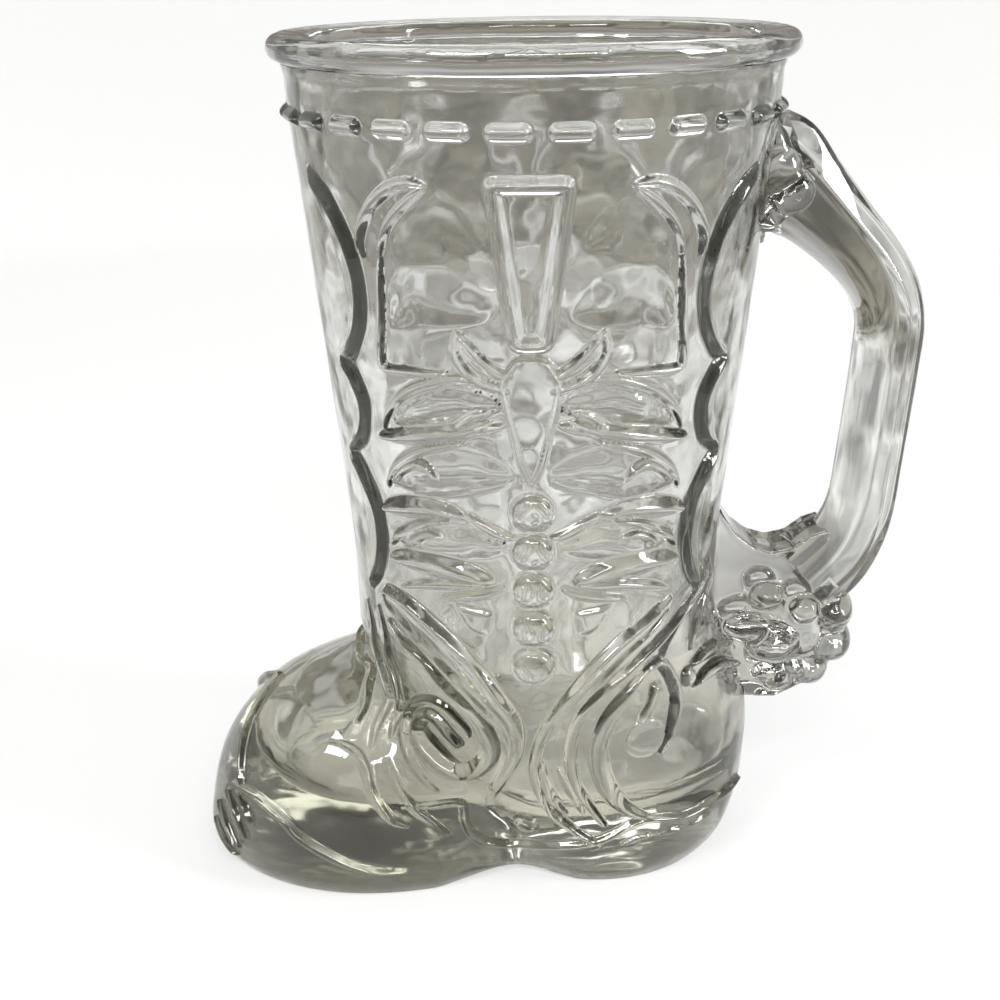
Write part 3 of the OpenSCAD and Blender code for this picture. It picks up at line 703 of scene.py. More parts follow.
def raiseFolds():
    for name, rise in (("lines", folds["rise"]), ("dimples", folds["dimpleRise"])):
        for line in folds[name]:
            rib("foot_folds", line, rise, "soft")


raiseStitches()
raiseStraps()
raiseSkulls()
raiseStuds()
raiseDarts()
raiseBands()
raiseScrolls()
raiseBorders()
raiseFolds()
relief = np.maximum.reduce([heights[name] for name in reliefNodes])


def straightened(grid):
    # straight between the corners of each cell, as the faces of the leg and the foot are
    for axis in (0, 1):
        steps = np.arange(grid.shape[axis])
        low = np.take(grid, steps // finer * finer, axis)
        high = np.take(grid, np.minimum(steps // finer * finer + finer, steps[-1]), axis)
        share = (steps % finer / finer).reshape((-1, 1, 1) if axis == 0 else (1, -1, 1))
        grid = low + (high - low) * share
    return grid


bare = straightened(skin + outward * heights["glass"][..., None])
dressed = bare + outward * np.maximum(relief, jointGap * sheet["proud"])[..., None]
print("relief raised")


def cellOwners():
    # for each cell, the number of the node whose relief is highest there, or -1
    tops = []
    for name in reliefNodes:
        cells = heights[name][:-1, :-1].reshape(rows, finer, columns, finer).max(axis=(1, 3))
        # a cell whose far edge rises belongs too, so that each island ends flat
        cells = np.maximum(cells, np.roll(cells, -1, 1))
        cells[:-1] = np.maximum(cells[:-1], cells[1:])
        tops.append(cells)
    tops = np.array(tops)
    return np.where(tops.max(0) > sheet["least"], tops.argmax(0), -1)


owners = cellOwners()


# mesh helpers

# metres under which two places are one, and the share from which a face looks one way
tolerance = {"weld": 1e-6, "cut": 1e-7, "plane": 2e-6, "facing": 0.999}


def onlySelected(obj):
    bpy.ops.object.select_all(action="DESELECT")
    obj.select_set(True)
    bpy.context.view_layer.objects.active = obj


def newObject(name, points, edges, faces):
    # points in metres
    mesh = bpy.data.meshes.new(name)
    mesh.from_pydata(points, edges, faces)
    obj = bpy.data.objects.new(name, mesh)
    bpy.context.scene.collection.objects.link(obj)
    return obj


def editAll(obj, *steps):
    # each step is an edit mode operator and what it is given, run on the whole mesh
    onlySelected(obj)
    bpy.ops.object.mode_set(mode="EDIT")
    for operator, given in steps:
        bpy.ops.mesh.select_all(action="SELECT")
        operator(**given)
    bpy.ops.object.mode_set(mode="OBJECT")


def spun(obj, steps, x, inside):
    # a section spun about an upright axis, closed, with its faces turned the right way
    turn = {"steps": steps, "angle": math.tau, "center": (x, 0, 0), "axis": (0, 0, 1)}
    editAll(
        obj,
        (bpy.ops.mesh.spin, turn),
        (bpy.ops.mesh.remove_doubles, {"threshold": tolerance["weld"]}),
        (bpy.ops.mesh.normals_make_consistent, {"inside": inside}),
    )


def setFlags(obj, name, flags):
    layer = obj.data.attributes.get(name) or obj.data.attributes.new(name, "FLOAT", "FACE")
    layer.data.foreach_set("value", np.asarray(flags, np.float32))


def setJoint(obj, flags):
    setFlags(obj, "joint", flags)


def jointFlags(obj):
    flags = np.zeros(len(obj.data.polygons), np.float32)
    if obj.data.attributes.get("joint"):
        obj.data.attributes["joint"].data.foreach_get("value", flags)
    return flags


def faceData(obj):
    centres = np.empty(len(obj.data.polygons) * 3, np.float32)
    normals = np.empty(len(obj.data.polygons) * 3, np.float32)
    obj.data.polygons.foreach_get("center", centres)
    obj.data.polygons.foreach_get("normal", normals)
    return centres.reshape(-1, 3), normals.reshape(-1, 3)


def smoothed(obj, degrees=55):
    onlySelected(obj)
    bpy.ops.object.shade_smooth_by_angle(angle=math.radians(degrees))


def sharpenJoints(obj):
    # the shading of a visible face doesn't lean on a hidden face beside it
    mesh = obj.data
    edges = np.empty(len(mesh.loops), np.int32)
    mesh.loops.foreach_get("edge_index", edges)
    sides = np.empty(len(mesh.polygons), np.int32)
    mesh.polygons.foreach_get("loop_total", sides)
    hidden = np.repeat(jointFlags(obj) > 0.5, sides)
    sharp = np.zeros(len(mesh.edges), bool)
    mesh.edges.foreach_get("use_edge_sharp", sharp)
    meets = np.zeros((2, len(mesh.edges)), bool)
    meets[0, edges[hidden]] = True
    meets[1, edges[~hidden]] = True
    mesh.edges.foreach_set("use_edge_sharp", sharp | meets.all(0))


def shell(name, rings, flags, looped):
    # rings of points in millimetres, joined into a closed skin; one flag for each face ring
    points = []
    starts = []
    for ring in rings:
        starts.append(len(points))
        points.extend(map(tuple, np.atleast_2d(ring) * mm))
    faces = []
    joint = []
    pairs = list(zip(range(len(rings)), range(1, len(rings))))
    if looped:
        pairs.append((len(rings) - 1, 0))
    step = np.arange(columns)
    after = (step + 1) % columns
    for (low, high), flag in zip(pairs, flags):
        a, b = starts[low], starts[high]
        if np.ndim(rings[low]) == 1:
            made = np.stack([0 * step + a, b + after, b + step], -1)
        elif np.ndim(rings[high]) == 1:
            made = np.stack([a + step, a + after, 0 * step + b], -1)
        else:
            made = np.stack([a + step, a + after, b + after, b + step], -1)
        faces.extend(made.tolist())
        joint.append(np.broadcast_to(flag, (columns,)))
    obj = newObject(name, points, [], faces)
    setJoint(obj, np.concatenate(joint))
    return obj


coarse = bare[::finer, ::finer][:, :-1]
coarseTurns = fineTurns[::finer][:-1]


def makeLeg():
    # the outer skin up, over the top, and the plain inner wall down again
    outer = coarse[sheet["footRows"]:].copy()
    outer[0, :, 2] += jointGap / 2
    outer[-1, :, 2] -= jointGap / 2
    innerLevels = np.linspace(rimZ - jointGap / 2, ankleZ + jointGap / 2, leg["innerRows"])
    inner = [placed(coarseTurns, z, cavityRadius(coarseTurns, z)) for z in innerLevels]
    covered = (owners[sheet["footRows"]:] >= 0).astype(float)
    flags = [*covered, 1.0, *([0.0] * (len(inner) - 1)), 1.0]
    return shell("glassLeg", [*outer, *inner], flags, True)


legPiece = makeLeg()
smoothed(legPiece)
print("leg made")


def makeFoot():
    # one hollow boot foot, from under its sole to the cavity's floor, cut apart afterwards
    outline = coarse[0]
    middle = np.array([legX + foot["middleX"], 0, 0])
    under = [middle + (outline - middle) * share for share in foot["underShares"]]
    for ring in under:
        ring[:, 2] = archLift(ring[:, 0], 0 * ring[:, 0])
    pole = middle + [0, 0, float(archLift(middle[0], 0))]
    outer = coarse[:sheet["footRows"] + 1].copy()
    outer[-1, :, 2] -= jointGap / 2
    innerShares = 1 - np.linspace(0, 1, foot["innerRows"]) ** foot["innerEase"]
    innerLevels = foot["floorZ"] + (ankleZ - jointGap / 2 - foot["floorZ"]) * innerShares
    inner = [placed(coarseTurns, z, cavityRadius(coarseTurns, z)) for z in innerLevels]
    floorMiddle = middle + [0, 0, foot["floorZ"]]
    floor = [floorMiddle + (inner[-1] - floorMiddle) * share for share in foot["floorShares"]]
    covered = (owners[:sheet["footRows"]] >= 0).astype(float)
    flags = [0.0] * (len(under) + 1) + [*covered, 1.0]
    flags += [0.0] * (len(inner) + len(floor))
    rings = [pole, *under, *outer, *inner, *floor, floorMiddle]
    return shell("wholeFoot", rings, flags, False)


def cutPiece(source, name, cuts):
    # each cut is a point and a direction; what lies behind it goes, and its face is a joint
    piece = source.copy()
    piece.data = source.data.copy()
    piece.name = name
    bpy.context.scene.collection.objects.link(piece)
    for point, normal in cuts:
        editAll(piece, (bpy.ops.mesh.bisect, {
            "plane_co": Vector(point) * mm, "plane_no": normal, "use_fill": True,
            "clear_inner": True, "threshold": tolerance["cut"],
        }))
        centres, normals = faceData(piece)
        off = np.abs((centres - np.array(point) * mm) @ np.array(normal))
        flat = np.abs(normals @ np.array(normal)) > tolerance["facing"]
        flags = jointFlags(piece)
        flags[(off < tolerance["plane"]) & flat] = 1
        setJoint(piece, flags)
    smoothed(piece)
    return piece


def makeFootPieces():
    whole = makeFoot()
    breast = legX + foot["breastX"]
    gap = jointGap / 2
    soleZ, heelZ = foot["soleZ"], foot["heelZ"]
    sole = cutPiece(whole, "glassSole", [([0, 0, soleZ - gap], [0, 0, -1]),
                                         ([breast - gap, 0, 0], [-1, 0, 0])])
    heel = cutPiece(whole, "glassHeel", [([0, 0, heelZ - gap], [0, 0, -1]),
                                         ([breast + gap, 0, 0], [1, 0, 0])])
    front = cutPiece(whole, "glassFoot", [([0, 0, soleZ + gap], [0, 0, 1]),
                                          ([breast - gap, 0, 0], [-1, 0, 0])])
    back = cutPiece(whole, "footBack", [([0, 0, heelZ + gap], [0, 0, 1]),
                                        ([breast + gap, 0, 0], [1, 0, 0])])
    onlySelected(front)
    back.select_set(True)
    bpy.ops.object.join()
    bpy.data.objects.remove(whole)
    return front, sole, heel


footPiece, solePiece, heelPiece = makeFootPieces()
print("foot, sole and heel made")


def makeIsland(node, name):
    # cut out of a flat sheet, thickened by 1, cut finer on top and wrapped onto the glass
    top = 0.99
    bpy.ops.mesh.primitive_grid_add(x_subdivisions=columns, y_subdivisions=rows, size=2)
    piece = bpy.context.object
    piece.name = name
    centres, _ = faceData(piece)
    col = np.clip(((centres[:, 0] + 1) / 2 * columns).astype(int), 0, columns - 1)
    row = np.clip(((centres[:, 1] + 1) / 2 * rows).astype(int), 0, rows - 1)
    drop = owners[row, col] != reliefNodes.index(node)
    piece.data.polygons.foreach_set("select", drop)
    bpy.ops.object.mode_set(mode="EDIT")
    bpy.ops.mesh.delete(type="FACE")
    bpy.ops.mesh.select_all(action="SELECT")
    bpy.ops.mesh.extrude_region_move(TRANSFORM_OT_translate={"value": (0, 0, 1)})
    bpy.ops.mesh.select_all(action="SELECT")
    bpy.ops.mesh.normals_make_consistent(inside=False)
    bpy.ops.mesh.select_all(action="DESELECT")
    bpy.ops.object.mode_set(mode="OBJECT")
    centres, _ = faceData(piece)
    piece.data.polygons.foreach_set("select", centres[:, 2] > top)
    bpy.ops.object.mode_set(mode="EDIT")
    bpy.ops.mesh.subdivide(number_cuts=sheet["cuts"])
    bpy.ops.object.mode_set(mode="OBJECT")
    centres, _ = faceData(piece)
    setJoint(piece, centres[:, 2] < top)
    spots = np.empty(len(piece.data.vertices) * 3, np.float32)
    piece.data.vertices.foreach_get("co", spots)
    spots = spots.reshape(-1, 3)
    col = np.rint((spots[:, 0] + 1) / 2 * columns * finer).astype(int)
    row = np.rint((spots[:, 1] + 1) / 2 * rows * finer).astype(int)
    seat = bare[row, col] + outward[row, col] * jointGap
    at = np.where(spots[:, 2:] > top, dressed[row, col], seat)
    piece.data.vertices.foreach_set("co", (at * mm).ravel())
    piece.data.update()
    smoothed(piece)
    sharpenJoints(piece)
    return piece


islandNames = {
    "stitches": "stitching", "pull_straps": "pullStraps", "skulls": "steerSkulls",
    "studs": "roundStuds", "rib_darts": "ribDarts", "ankle_bands": "ankleBands",
    "scrolls": "sideScrolls", "scallop_borders": "scallopBorders", "foot_folds": "footFolds",
}
islands = {}
for node, name in islandNames.items():
    islands[node] = makeIsland(node, name)
    print("relief piece made:", name, len(islands[node].data.polygons), "faces")


rim = {
    "innerRadius": 37.8, "noseRadius": 2.2, "noseX": 42.8, "lipRadius": 1.7, "lipDrop": 0.45,
    # first and last direction and the number of points of each round
    "lipArc": (180, 90, 9), "noseArc": (100, -82, 22), "steps": 288, "smooth": 40,
}


def arc(x, z, radius, directions):
    turns = np.radians(np.linspace(*directions))
    return [(x + radius * math.cos(a), z + radius * math.sin(a)) for a in turns]


def makeRim():
    # the rolled edge's section, spun about the leg's axis
    low = rimZ + jointGap / 2
    lipX = rim["innerRadius"] + rim["lipRadius"]
    lipZ = topZ - rim["lipDrop"] - rim["lipRadius"]
    section = [
        (rim["innerRadius"], low),
        *arc(lipX, lipZ, rim["lipRadius"], rim["lipArc"]),
        *arc(rim["noseX"], topZ - rim["noseRadius"], rim["noseRadius"], rim["noseArc"]),
        (rim["noseX"], low),
    ]
    points = [((legX + r) * mm, 0, z * mm) for r, z in section]
    edges = [(i, (i + 1) % len(points)) for i in range(len(points))]
    piece = newObject("rolledRim", points, edges, [])
    spun(piece, rim["steps"], legX * mm, False)
    centres, normals = faceData(piece)
    level = np.abs(centres[:, 2] - low * mm) < tolerance["plane"]
    setJoint(piece, level & (np.abs(normals[:, 2]) > tolerance["facing"]))
    smoothed(piece, rim["smooth"])
    return piece


rimPiece = makeRim()
print("rim made")


grip = {
    # distance behind the axis, height and thickness
    "line": [[38.6, 126.9, 23.5], [42.3, 126.6, 22.3], [47.5, 123.3, 16.5], [53.2, 118.1, 13.6],
             [58.7, 112.3, 12.4], [62.3, 106.9, 11.9], [64.0, 101.1, 11.6], [63.8, 94.2, 11.4],
             [63.1, 85.1, 11.4], [62.2, 74.9, 11.4], [61.3, 66.0, 11.6], [59.5, 60.0, 12.3],
             [56.4, 55.0, 13.6], [51.5, 50.2, 14.5]],
    "thickness": 11.6,
    # half of the section: outwards from the middle line, and to the side
    "section": [[-5.8, 3.4], [-3.4, 6.6], [2.3, 7.0], [5.8, 3.7]],
    # how far from each corner it is rounded, at most a share of the side
    "rounding": [2.2, 2.6, 0.8, 1.0],
    "most": 0.48,
    "perCorner": 5,
    "perStep": 7,
    "rootZ": 96,
    "sunk": 2.2,
    "smooth": 40,
}


def gripSection():
    corners = grip["section"] + [[t, -w] for t, w in reversed(grip["section"])]
    cuts = grip["rounding"] + grip["rounding"][::-1]
    return np.array(roundedOutline(corners, cuts, grip["perCorner"], grip["most"], True))


def makeGrip():
    path = smoothPath(grip["line"], grip["perStep"])
    section = gripSection()
    along = np.gradient(path[:, :2], axis=0)
    along /= np.linalg.norm(along, axis=1, keepdims=True)
    # the section's first number runs square to the line, away from the finger gap
    rings = []
    for (x, z, thick), (dx, dz) in zip(path, along):
        out = np.array([-dz, dx])
        scale = thick / grip["thickness"]
        ring = np.stack([x + out[0] * section[:, 0] * scale, section[:, 1],
                         z + out[1] * section[:, 0] * scale], -1)
        if z > grip["rootZ"]:   # the upper root stays within the leg's wall
            least = np.sqrt(legRadius(ring[:, 2]) ** 2 - ring[:, 1] ** 2) - grip["sunk"]
            ring[:, 0] = np.maximum(ring[:, 0], least)
        ring[:, 0] += legX
        rings.append(ring * mm)
    count = len(section)
    points = [tuple(p) for ring in rings for p in ring]
    faces = []
    for j in range(len(rings) - 1):
        for i in range(count):
            k = (i + 1) % count
            faces.append([j * count + i, j * count + k, (j + 1) * count + k, (j + 1) * count + i])
    faces.append(list(range(count))[::-1])
    faces.append([(len(rings) - 1) * count + i for i in range(count)])
    piece = newObject("gripBar", points, [], faces)
    editAll(piece, (bpy.ops.mesh.normals_make_consistent, {"inside": False}))
    smoothed(piece, grip["smooth"])
    return piece


gripPiece = makeGrip()
print("grip made")


ballFaces = {"segments": 40, "ring_count": 24}


def ball(centre, radii):
    bpy.ops.mesh.primitive_uv_sphere_add(radius=mm, **ballFaces)
    obj = bpy.context.object
    x, y, z = centre
    obj.data.transform(
        Matrix.Translation(Vector([x + legX, y, z]) * mm) @ Matrix.Diagonal((*radii, 1))
    )
    return obj


def slab(outline, half):
    # a flat outline seen from the side, pushed out to both sides
    points = [((x + legX) * mm, -half * mm, z * mm) for x, z in outline]
    obj = newObject("slab", points, [], [list(range(len(outline)))])
    across = {"value": (0, 2 * half * mm, 0)}
    editAll(
        obj,
        (bpy.ops.mesh.extrude_region_move, {"TRANSFORM_OT_translate": across}),
        (bpy.ops.mesh.normals_make_consistent, {"inside": False}),
    )
    return obj


def fused(name, parts, made):
    # melted together as the mould's hollows melt together
    bpy.ops.object.select_all(action="DESELECT")
    for part in parts:
        part.select_set(True)
    bpy.context.view_layer.objects.active = parts[0]
    bpy.ops.object.join()
    piece = bpy.context.object
    piece.name = name
    remesh = piece.modifiers.new("melt", "REMESH")
    remesh.mode = "VOXEL"
    remesh.voxel_size = made["voxel"] * mm
    remesh.adaptivity = 0
    bpy.ops.object.modifier_apply(modifier="melt")
    relax = piece.modifiers.new("relax", "SMOOTH")
    relax.factor = made["relax"]
    relax.iterations = made["smoothing"]
    bpy.ops.object.modifier_apply(modifier="relax")
    piece.data.polygons.foreach_set("use_smooth", [True] * len(piece.data.polygons))
    return piece


root = {
    "voxel": 0.42,
    "relax": 0.5,
    "smoothing": 9,
    # centre behind the axis, to the side, and up, then radii
    "balls": [[39.8, 6.4, 132.2, 3.8, 3.4, 4.6], [41.6, 6.8, 128.4, 4.2, 3.8, 4.8],
              [43.6, 6.9, 125.2, 4.4, 4.1, 4.2], [40.2, 6.3, 122.2, 3.4, 3.3, 3.6]],
}


def makeRoot():
    parts = []
    for x, y, z, rx, ry, rz in root["balls"]:
        for side in (-1, 1):
            parts.append(ball([x, side * y, z], [rx, ry, rz]))
    return fused("handleRoot", parts, root)


rootPiece = makeRoot()
print("handle root made")


spur = {
    "voxel": 0.42,
    "relax": 0.5,
    "smoothing": 7,
    "webHalf": 5.6,
    "web": [[33, 69.5], [35, 65], [37.4, 61.4], [40.6, 58.9], [44.4, 57.7], [48.2, 58.5],
            [51.4, 61], [54.4, 62], [56, 54], [57, 50], [58.1, 45.5],
            [57.0, 39.8], [53.2, 31.2], [46.2, 27.6], [39.4, 27.8], [38.2, 34.2], [33.0, 44.1]],
    "centre": [48, 41.5],
    "core": [9.6, 7.6],
    "lobes": 9,
    "lobeAt": 9.3,
    "lobe": [4.3, 8.2, 4.3],
    "lobeSpan": [-130, 45],
    # seen from the side: place and radii
    "drops": [[45.2, 40.3, 5.0, 3.4, 4.3], [43.4, 49.2, 2.9, 3.2, 2.5],
              [40.4, 43.0, 4.6, 3.0, 2.6], [50.6, 46.4, 3.0, 2.6, 2.6],
              [43.6, 33.5, 2.0, 2.4, 1.8], [49.3, 34.5, 2.0, 2.4, 1.8]],
    "dropSide": 6.3,
}


def makeSpur():
    cx, cz = spur["centre"]
    parts = [slab(spur["web"], spur["webHalf"])]
    parts.append(ball([cx, 0, cz], [spur["core"][0], spur["core"][1], spur["core"][0]]))
    for i in range(spur["lobes"]):
        angle = (i + 0.5) * 360 / spur["lobes"]
        angle = (angle + 180) % 360 - 180
        if spur["lobeSpan"][0] < angle < spur["lobeSpan"][1]:
            a = math.radians(angle)
            x = cx + spur["lobeAt"] * math.cos(a)
            z = cz + spur["lobeAt"] * math.sin(a)
            parts.append(ball([x, 0, z], spur["lobe"]))
    for x, z, rx, ry, rz in spur["drops"]:
        for side in (-1, 1):
            parts.append(ball([x, side * spur["dropSide"], z], [rx, ry, rz]))
    return fused("spurRowel", parts, spur)


spurPiece = makeSpur()
print("spur made")


# where one region runs inside another, its faces are joints that let light straight through

def polar(spots):
    # direction in degrees, distance from the leg's axis and height
    x, y, z = (spots / mm).T
    return np.degrees(np.arctan2(x - legX, -y)), np.hypot(x - legX, y), z


def deepInGlass(spots):
    degrees, radius, z = polar(spots)
    return (radius < outerRadius(degrees, z)) & (z < rimZ) & (z > 0)


def insideOf(obj, spots):
    corners = [v.co for v in obj.data.vertices]
    tree = BVHTree.FromPolygons(corners, [p.vertices for p in obj.data.polygons])
    low, high = np.min(corners, 0), np.max(corners, 0)
    found = np.zeros(len(spots), bool)
    for i in np.nonzero(np.all((spots > low) & (spots < high), axis=1))[0]:
        at, normal, _, _ = tree.find_nearest(Vector(spots[i]))
        found[i] = (Vector(spots[i]) - at).dot(normal) < 0
    return found


def openJoints():
    handle = [gripPiece, rootPiece, spurPiece]
    for piece in [*handle, legPiece, footPiece, heelPiece, *islands.values()]:
        spots, _ = faceData(piece)
        hidden = deepInGlass(spots) if piece in handle else np.zeros(len(spots), bool)
        for other in handle:
            if other is not piece:
                hidden |= insideOf(other, spots)
        setJoint(piece, np.maximum(jointFlags(piece), hidden))


openJoints()
print("joints opened")


def markDullFaces():
    # the mould's core leaves the cavity's wall duller than the outside, a little less so at
    # the bottom, and the foot stands on a grained face
    for piece in (legPiece, footPiece):
        spots, _ = faceData(piece)
        degrees, radius, z = polar(spots)
        inner = radius < cavityRadius(degrees, z) + leg["chillDepth"]
        inner &= z > foot["floorZ"] - leg["chillDepth"]
        share = np.interp(z, [foot["floorZ"], foot["instepZ"]], [leg["bottomChill"], 1])
        setFlags(piece, "chill", inner * share)
    for piece in (solePiece, heelPiece):
        spots, normals = faceData(piece)
        under = spots[:, 2] < foot["archRise"] * foot["grainOver"] * mm
        under &= normals[:, 2] < foot["grainTilt"]
        setFlags(piece, "chill", under * leg["bottomChill"])


markDullFaces()


# materials

glassLooks = {
    "thin": {"tint": (0.43, 0.44, 0.39), "density": 50, "ripple": 0.4},
    "thick": {"tint": (0.50, 0.50, 0.42), "density": 60, "ripple": 0.35},
    "base": {"tint": (0.50, 0.50, 0.42), "density": 28, "ripple": 0.35},
    "handle": {"tint": (0.50, 0.50, 0.47), "density": 64, "ripple": 0.1},
    "relief": {"tint": (0.43, 0.44, 0.39), "density": 35, "ripple": 0.15},
}
glassMake = {
    "ior": 1.51, "chillRoughness": 0.11,
    "rippleScale": 95, "rippleDetail": 1.5, "rippleDepth": 0.002,
}


def addNode(tree, kind, sockets=None, **settings):
    # a socket takes a value, or the output of another node
    node = tree.nodes.new("ShaderNode" + kind)
    for key, value in settings.items():
        setattr(node, key, value)
    for key, value in (sockets or {}).items():
        if isinstance(value, bpy.types.NodeSocket):
            tree.links.new(value, node.inputs[key])
        else:
            node.inputs[key].default_value = value
    return node


def glassMaterial(name, look):
    material = bpy.data.materials.new(name)
    material.use_nodes = True
    tree = material.node_tree
    tree.nodes.clear()
    place = addNode(tree, "TexCoord")
    flow = addNode(tree, "TexNoise", {
        "Vector": place.outputs["Object"],
        "Scale": glassMake["rippleScale"], "Detail": glassMake["rippleDetail"],
    })
    bump = addNode(tree, "Bump", {
        "Strength": look["ripple"], "Distance": glassMake["rippleDepth"],
        "Height": flow.outputs["Fac"],
    })
    chill = addNode(tree, "Attribute", attribute_name="chill")
    dull = addNode(tree, "Math", {
        0: chill.outputs["Fac"], 1: glassMake["chillRoughness"],
    }, operation="MULTIPLY")
    glass = addNode(tree, "BsdfPrincipled", {
        "Base Color": (1, 1, 1, 1), "Transmission Weight": 1, "IOR": glassMake["ior"],
        "Roughness": dull.outputs[0], "Normal": bump.outputs["Normal"],
    })
    through = addNode(tree, "BsdfTransparent")
    joint = addNode(tree, "Attribute", attribute_name="joint")
    mix = addNode(tree, "MixShader", {
        "Fac": joint.outputs["Fac"], 1: glass.outputs["BSDF"], 2: through.outputs["BSDF"],
    })
    soak = addNode(tree, "VolumeAbsorption", {
        "Color": (*look["tint"], 1), "Density": look["density"],
    })
    addNode(tree, "OutputMaterial", {
        "Surface": mix.outputs["Shader"], "Volume": soak.outputs["Volume"],
    })
    return material


glasses = {key: glassMaterial(key + "Glass", look) for key, look in glassLooks.items()}


def finish(piece, node, glass):
    piece.data.materials.clear()
    piece.data.materials.append(glasses[glass])
    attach(piece, "root")
    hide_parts(node)


finish(rimPiece, "rim", "thin")
finish(legPiece, "leg", "thin")
finish(footPiece, "foot", "thick")
finish(solePiece, "sole", "base")
finish(heelPiece, "heel", "base")
finish(gripPiece, "grip", "handle")
finish(rootPiece, "handle_root", "handle")
finish(spurPiece, "spur", "handle")
for node, piece in islands.items():
    finish(piece, node, "relief")
print("glass finished")


# studio

studio = {
    "floorRings": [0, 0.2, 0.4, 0.62], "bend": 0.12, "bendArc": (0, 90, 13), "turns": 96,
    "wallHeight": 0.15, "drop": 0.0002, "smooth": 60,
    "paper": (0.6, 0.6, 0.594), "whiteShare": 0.5, "white": 1.12,
    # what the glass sees of it, with painted shade, darker near the middle as a painted shadow of
    # the boot and darker far out as painted shade of a room: distance from the middle, level and
    # share of blue
    "paintedShade": [[0, 0.56, 0.84], [0.08, 0.66, 0.88], [0.14, 0.84, 0.97], [0.3, 0.9, 0.99],
             [0.37, 0.7, 0.94], [0.46, 0.36, 0.82], [0.6, 0.26, 0.76], [0.8, 0.23, 0.74]],
    "yellow": 0.8,     # share of the green that stays where the blue goes
    "sideways": 0.5,   # how fast it fades to the sides
    "patches": {"scale": 13, "detail": 2, "from": (0.34, 0.66), "to": (0.45, 1.5)},
    "aim": (0, 0, 0.07),
}


def fillRamp(ramp, steps):
    # each step is a position and a colour
    ramp.elements.remove(ramp.elements[1])
    for i, (at, *colour) in enumerate(steps):
        element = ramp.elements[0] if i == 0 else ramp.elements.new(at)
        element.position = at
        element.color = (*colour, 1)


def paperMaterial():
    # the camera and reflections see white with a shadow, and the glass sees the paper with
    # painted shade: a painted shadow of the boot near the middle, and painted shade of a room
    # further out
    material = bpy.data.materials.new("paper")
    material.use_nodes = True
    tree = material.node_tree
    tree.nodes.clear()
    patches = studio["patches"]
    path = addNode(tree, "LightPath")
    place = addNode(tree, "TexCoord")
    squeezed = addNode(tree, "VectorMath", {
        0: place.outputs["Object"], 1: (studio["sideways"], 1, 1),
    }, operation="MULTIPLY")
    away = addNode(tree, "VectorMath", {0: squeezed.outputs["Vector"]}, operation="LENGTH")
    # painted shade seen only through the glass: a painted shadow of the boot near the middle,
    # painted shade of a room further out
    paintedShade = addNode(tree, "ValToRGB", {"Fac": away.outputs["Value"]})
    fillRamp(paintedShade.color_ramp, [
        [d, level, level * (studio["yellow"] + (1 - studio["yellow"]) * blue), level * blue]
        for d, level, blue in studio["paintedShade"]
    ])
    cloud = addNode(tree, "TexNoise", {
        "Vector": place.outputs["Object"],
        "Scale": patches["scale"], "Detail": patches["detail"],
    })
    spread = addNode(tree, "MapRange", {
        "Value": cloud.outputs["Fac"],
        "From Min": patches["from"][0], "From Max": patches["from"][1],
        "To Min": patches["to"][0], "To Max": patches["to"][1],
    })
    patchy = addNode(tree, "VectorMath", {
        0: paintedShade.outputs["Color"], "Scale": spread.outputs["Result"],
    }, operation="SCALE")
    # rays through the glass see the painted shade, all other rays plain white
    behind = addNode(tree, "Mix", {
        "Factor": path.outputs["Is Transmission Ray"],
        "A": (1, 1, 1, 1), "B": patchy.outputs["Vector"],
    }, data_type="RGBA")
    seen = addNode(tree, "Math", {
        0: path.outputs["Is Camera Ray"], 1: path.outputs["Is Glossy Ray"],
    }, operation="MAXIMUM")
    direct = addNode(tree, "Math", {
        0: seen.outputs[0], 1: studio["whiteShare"],
    }, operation="MULTIPLY")
    share = addNode(tree, "Math", {
        0: direct.outputs[0], 1: path.outputs["Is Transmission Ray"],
    }, operation="MAXIMUM")
    matte = addNode(tree, "BsdfDiffuse", {"Color": (*studio["paper"], 1)})
    white = addNode(tree, "Emission", {
        "Color": behind.outputs["Result"], "Strength": studio["white"],
    })
    mix = addNode(tree, "MixShader", {
        "Fac": share.outputs[0], 1: matte.outputs["BSDF"], 2: white.outputs["Emission"],
    })
    addNode(tree, "OutputMaterial", {"Surface": mix.outputs["Shader"]})
    return material


def makeStage():
    # a round paper floor that bends up to a low wall
    radius, bend = studio["floorRings"][-1], studio["bend"]
    section = [(r, 0.0) for r in studio["floorRings"]]
    for a in np.radians(np.linspace(*studio["bendArc"]))[1:]:
        section.append((radius + bend * math.sin(a), bend * (1 - math.cos(a))))
    section.append((section[-1][0], studio["wallHeight"]))
    points = [(r, 0, z - studio["drop"]) for r, z in section]
    floor = newObject("paperSweep", points, [(i, i + 1) for i in range(len(points) - 1)], [])
    spun(floor, studio["turns"], 0, True)
    smoothed(floor, studio["smooth"])
    floor.data.materials.append(paperMaterial())


makeStage()

lamps = [
    # name, place, size, power, colour
    ["key", (-0.45, -0.6, 0.9), (0.32, 0.22), 5.5, (1, 0.99, 0.97)],
    ["frontStrip", (0.15, -0.9, 0.9), (0.75, 0.09), 8, (1, 1, 1)],
    ["rightWindow", (0.9, -0.3, 0.5), (0.2, 0.5), 8, (0.97, 0.98, 1)],
    ["back", (0.1, 1.0, 1.0), (1.0, 0.4), 5, (1, 1, 1)],
]


def addLamps():
    for name, place, size, power, colour in lamps:
        bpy.ops.object.light_add(type="AREA", location=place)
        lamp = bpy.context.object
        lamp.name = name
        lamp.data.shape = "RECTANGLE"
        lamp.data.size, lamp.data.size_y = size
        lamp.data.energy = power
        lamp.data.color = colour
        aim = Vector(studio["aim"]) - Vector(place)
        lamp.rotation_euler = aim.to_track_quat("-Z", "Y").to_euler()


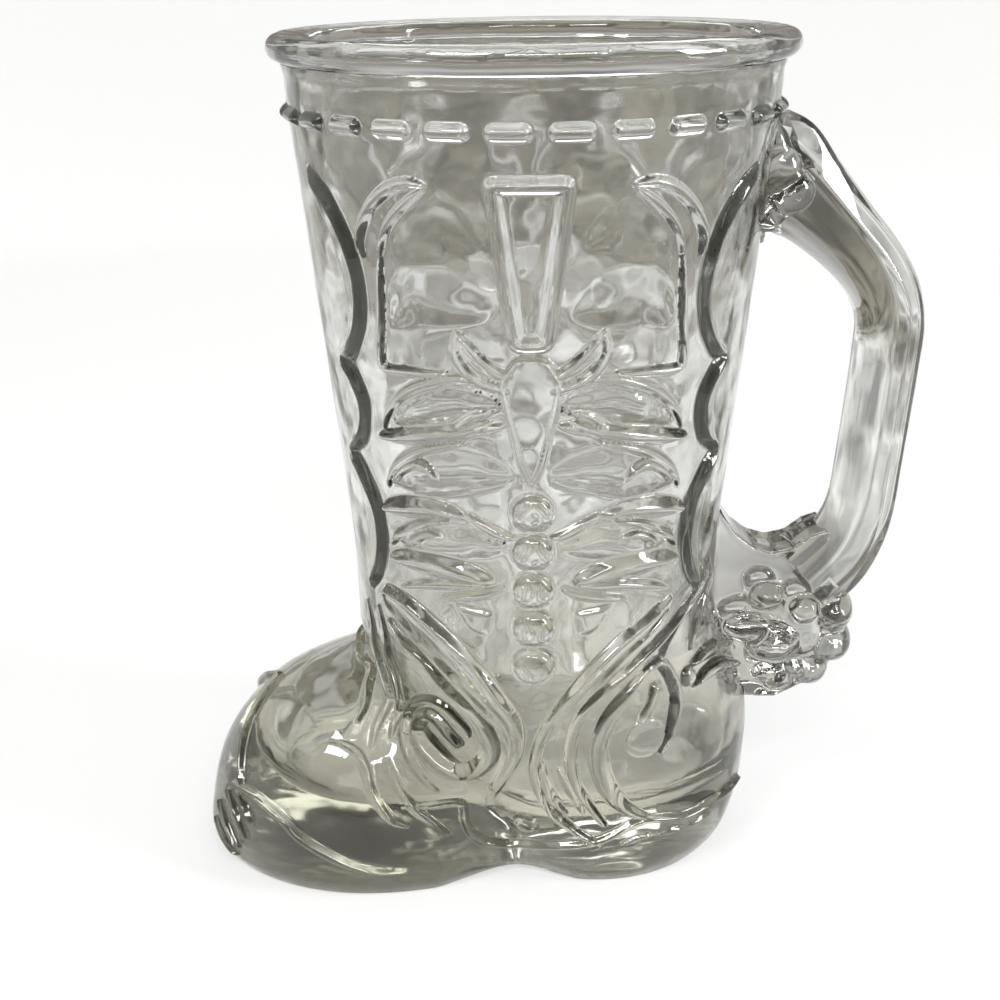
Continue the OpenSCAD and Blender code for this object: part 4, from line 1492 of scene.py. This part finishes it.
room = {
    # height of the direction, then colour
    "walls": [[0, 0.4, 0.35, 0.29], [0.12, 0.28, 0.26, 0.24], [0.26, 0.62, 0.61, 0.59],
              [0.42, 0.2, 0.19, 0.18], [0.6, 0.3, 0.29, 0.28], [0.8, 0.85, 0.84, 0.82],
              [1, 0.6, 0.6, 0.6]],
    # share of the direction to the side, then how much of the window shows
    "sides": [[0, 0, 0, 0], [0.35, 0.15, 0.15, 0.15], [0.65, 0.7, 0.7, 0.7], [0.9, 1, 1, 1]],
    "window": (0.92, 0.92, 0.92),
    "strength": 0.95,
}


def addWorld():
    # a soft room with a pale window at each side
    world = bpy.data.worlds.new("room")
    bpy.context.scene.world = world
    world.use_nodes = True
    tree = world.node_tree
    place = addNode(tree, "TexCoord")
    split = addNode(tree, "SeparateXYZ", {0: place.outputs["Generated"]})
    walls = addNode(tree, "ValToRGB", {"Fac": split.outputs["Z"]})
    fillRamp(walls.color_ramp, room["walls"])
    side = addNode(tree, "Math", {0: split.outputs["X"]}, operation="ABSOLUTE")
    sides = addNode(tree, "ValToRGB", {"Fac": side.outputs[0]})
    fillRamp(sides.color_ramp, room["sides"])
    mix = addNode(tree, "Mix", {
        "Factor": sides.outputs["Color"], "A": walls.outputs["Color"], "B": (*room["window"], 1),
    }, data_type="RGBA")
    background = tree.nodes["Background"]
    tree.links.new(mix.outputs["Result"], background.inputs["Color"])
    background.inputs["Strength"].default_value = room["strength"]


addLamps()
addWorld()

view = {
    # place in millimetres about the leg's axis, angles in degrees, lens and sensor in millimetres
    "place": (-6.634, -265.82, 165.56), "down": 20.34, "roll": -0.79,
    "lens": 54.13, "sensor": 36, "nearest": 0.01, "farthest": 20,
}


def addCamera():
    data = bpy.data.cameras.new("camera")
    data.lens = view["lens"]
    data.sensor_width = view["sensor"]
    data.clip_start = view["nearest"]
    data.clip_end = view["farthest"]
    camera = bpy.data.objects.new("camera", data)
    bpy.context.scene.collection.objects.link(camera)
    x, y, z = view["place"]
    camera.matrix_world = (
        Matrix.Translation(Vector((x + legX, y, z)) * mm)
        @ Matrix.Rotation(math.radians(90 - view["down"]), 4, "X")
        @ Matrix.Rotation(math.radians(view["roll"]), 4, "Z")
    )
    bpy.context.scene.camera = camera


addCamera()
lightPaths = {
    "max_bounces": 40, "transmission_bounces": 32, "glossy_bounces": 12,
    "transparent_max_bounces": 64, "use_denoising": True,
}
scene = bpy.context.scene
scene.view_settings.view_transform = "Standard"
for name, value in lightPaths.items():
    setattr(scene.cycles, name, value)
print("studio ready")
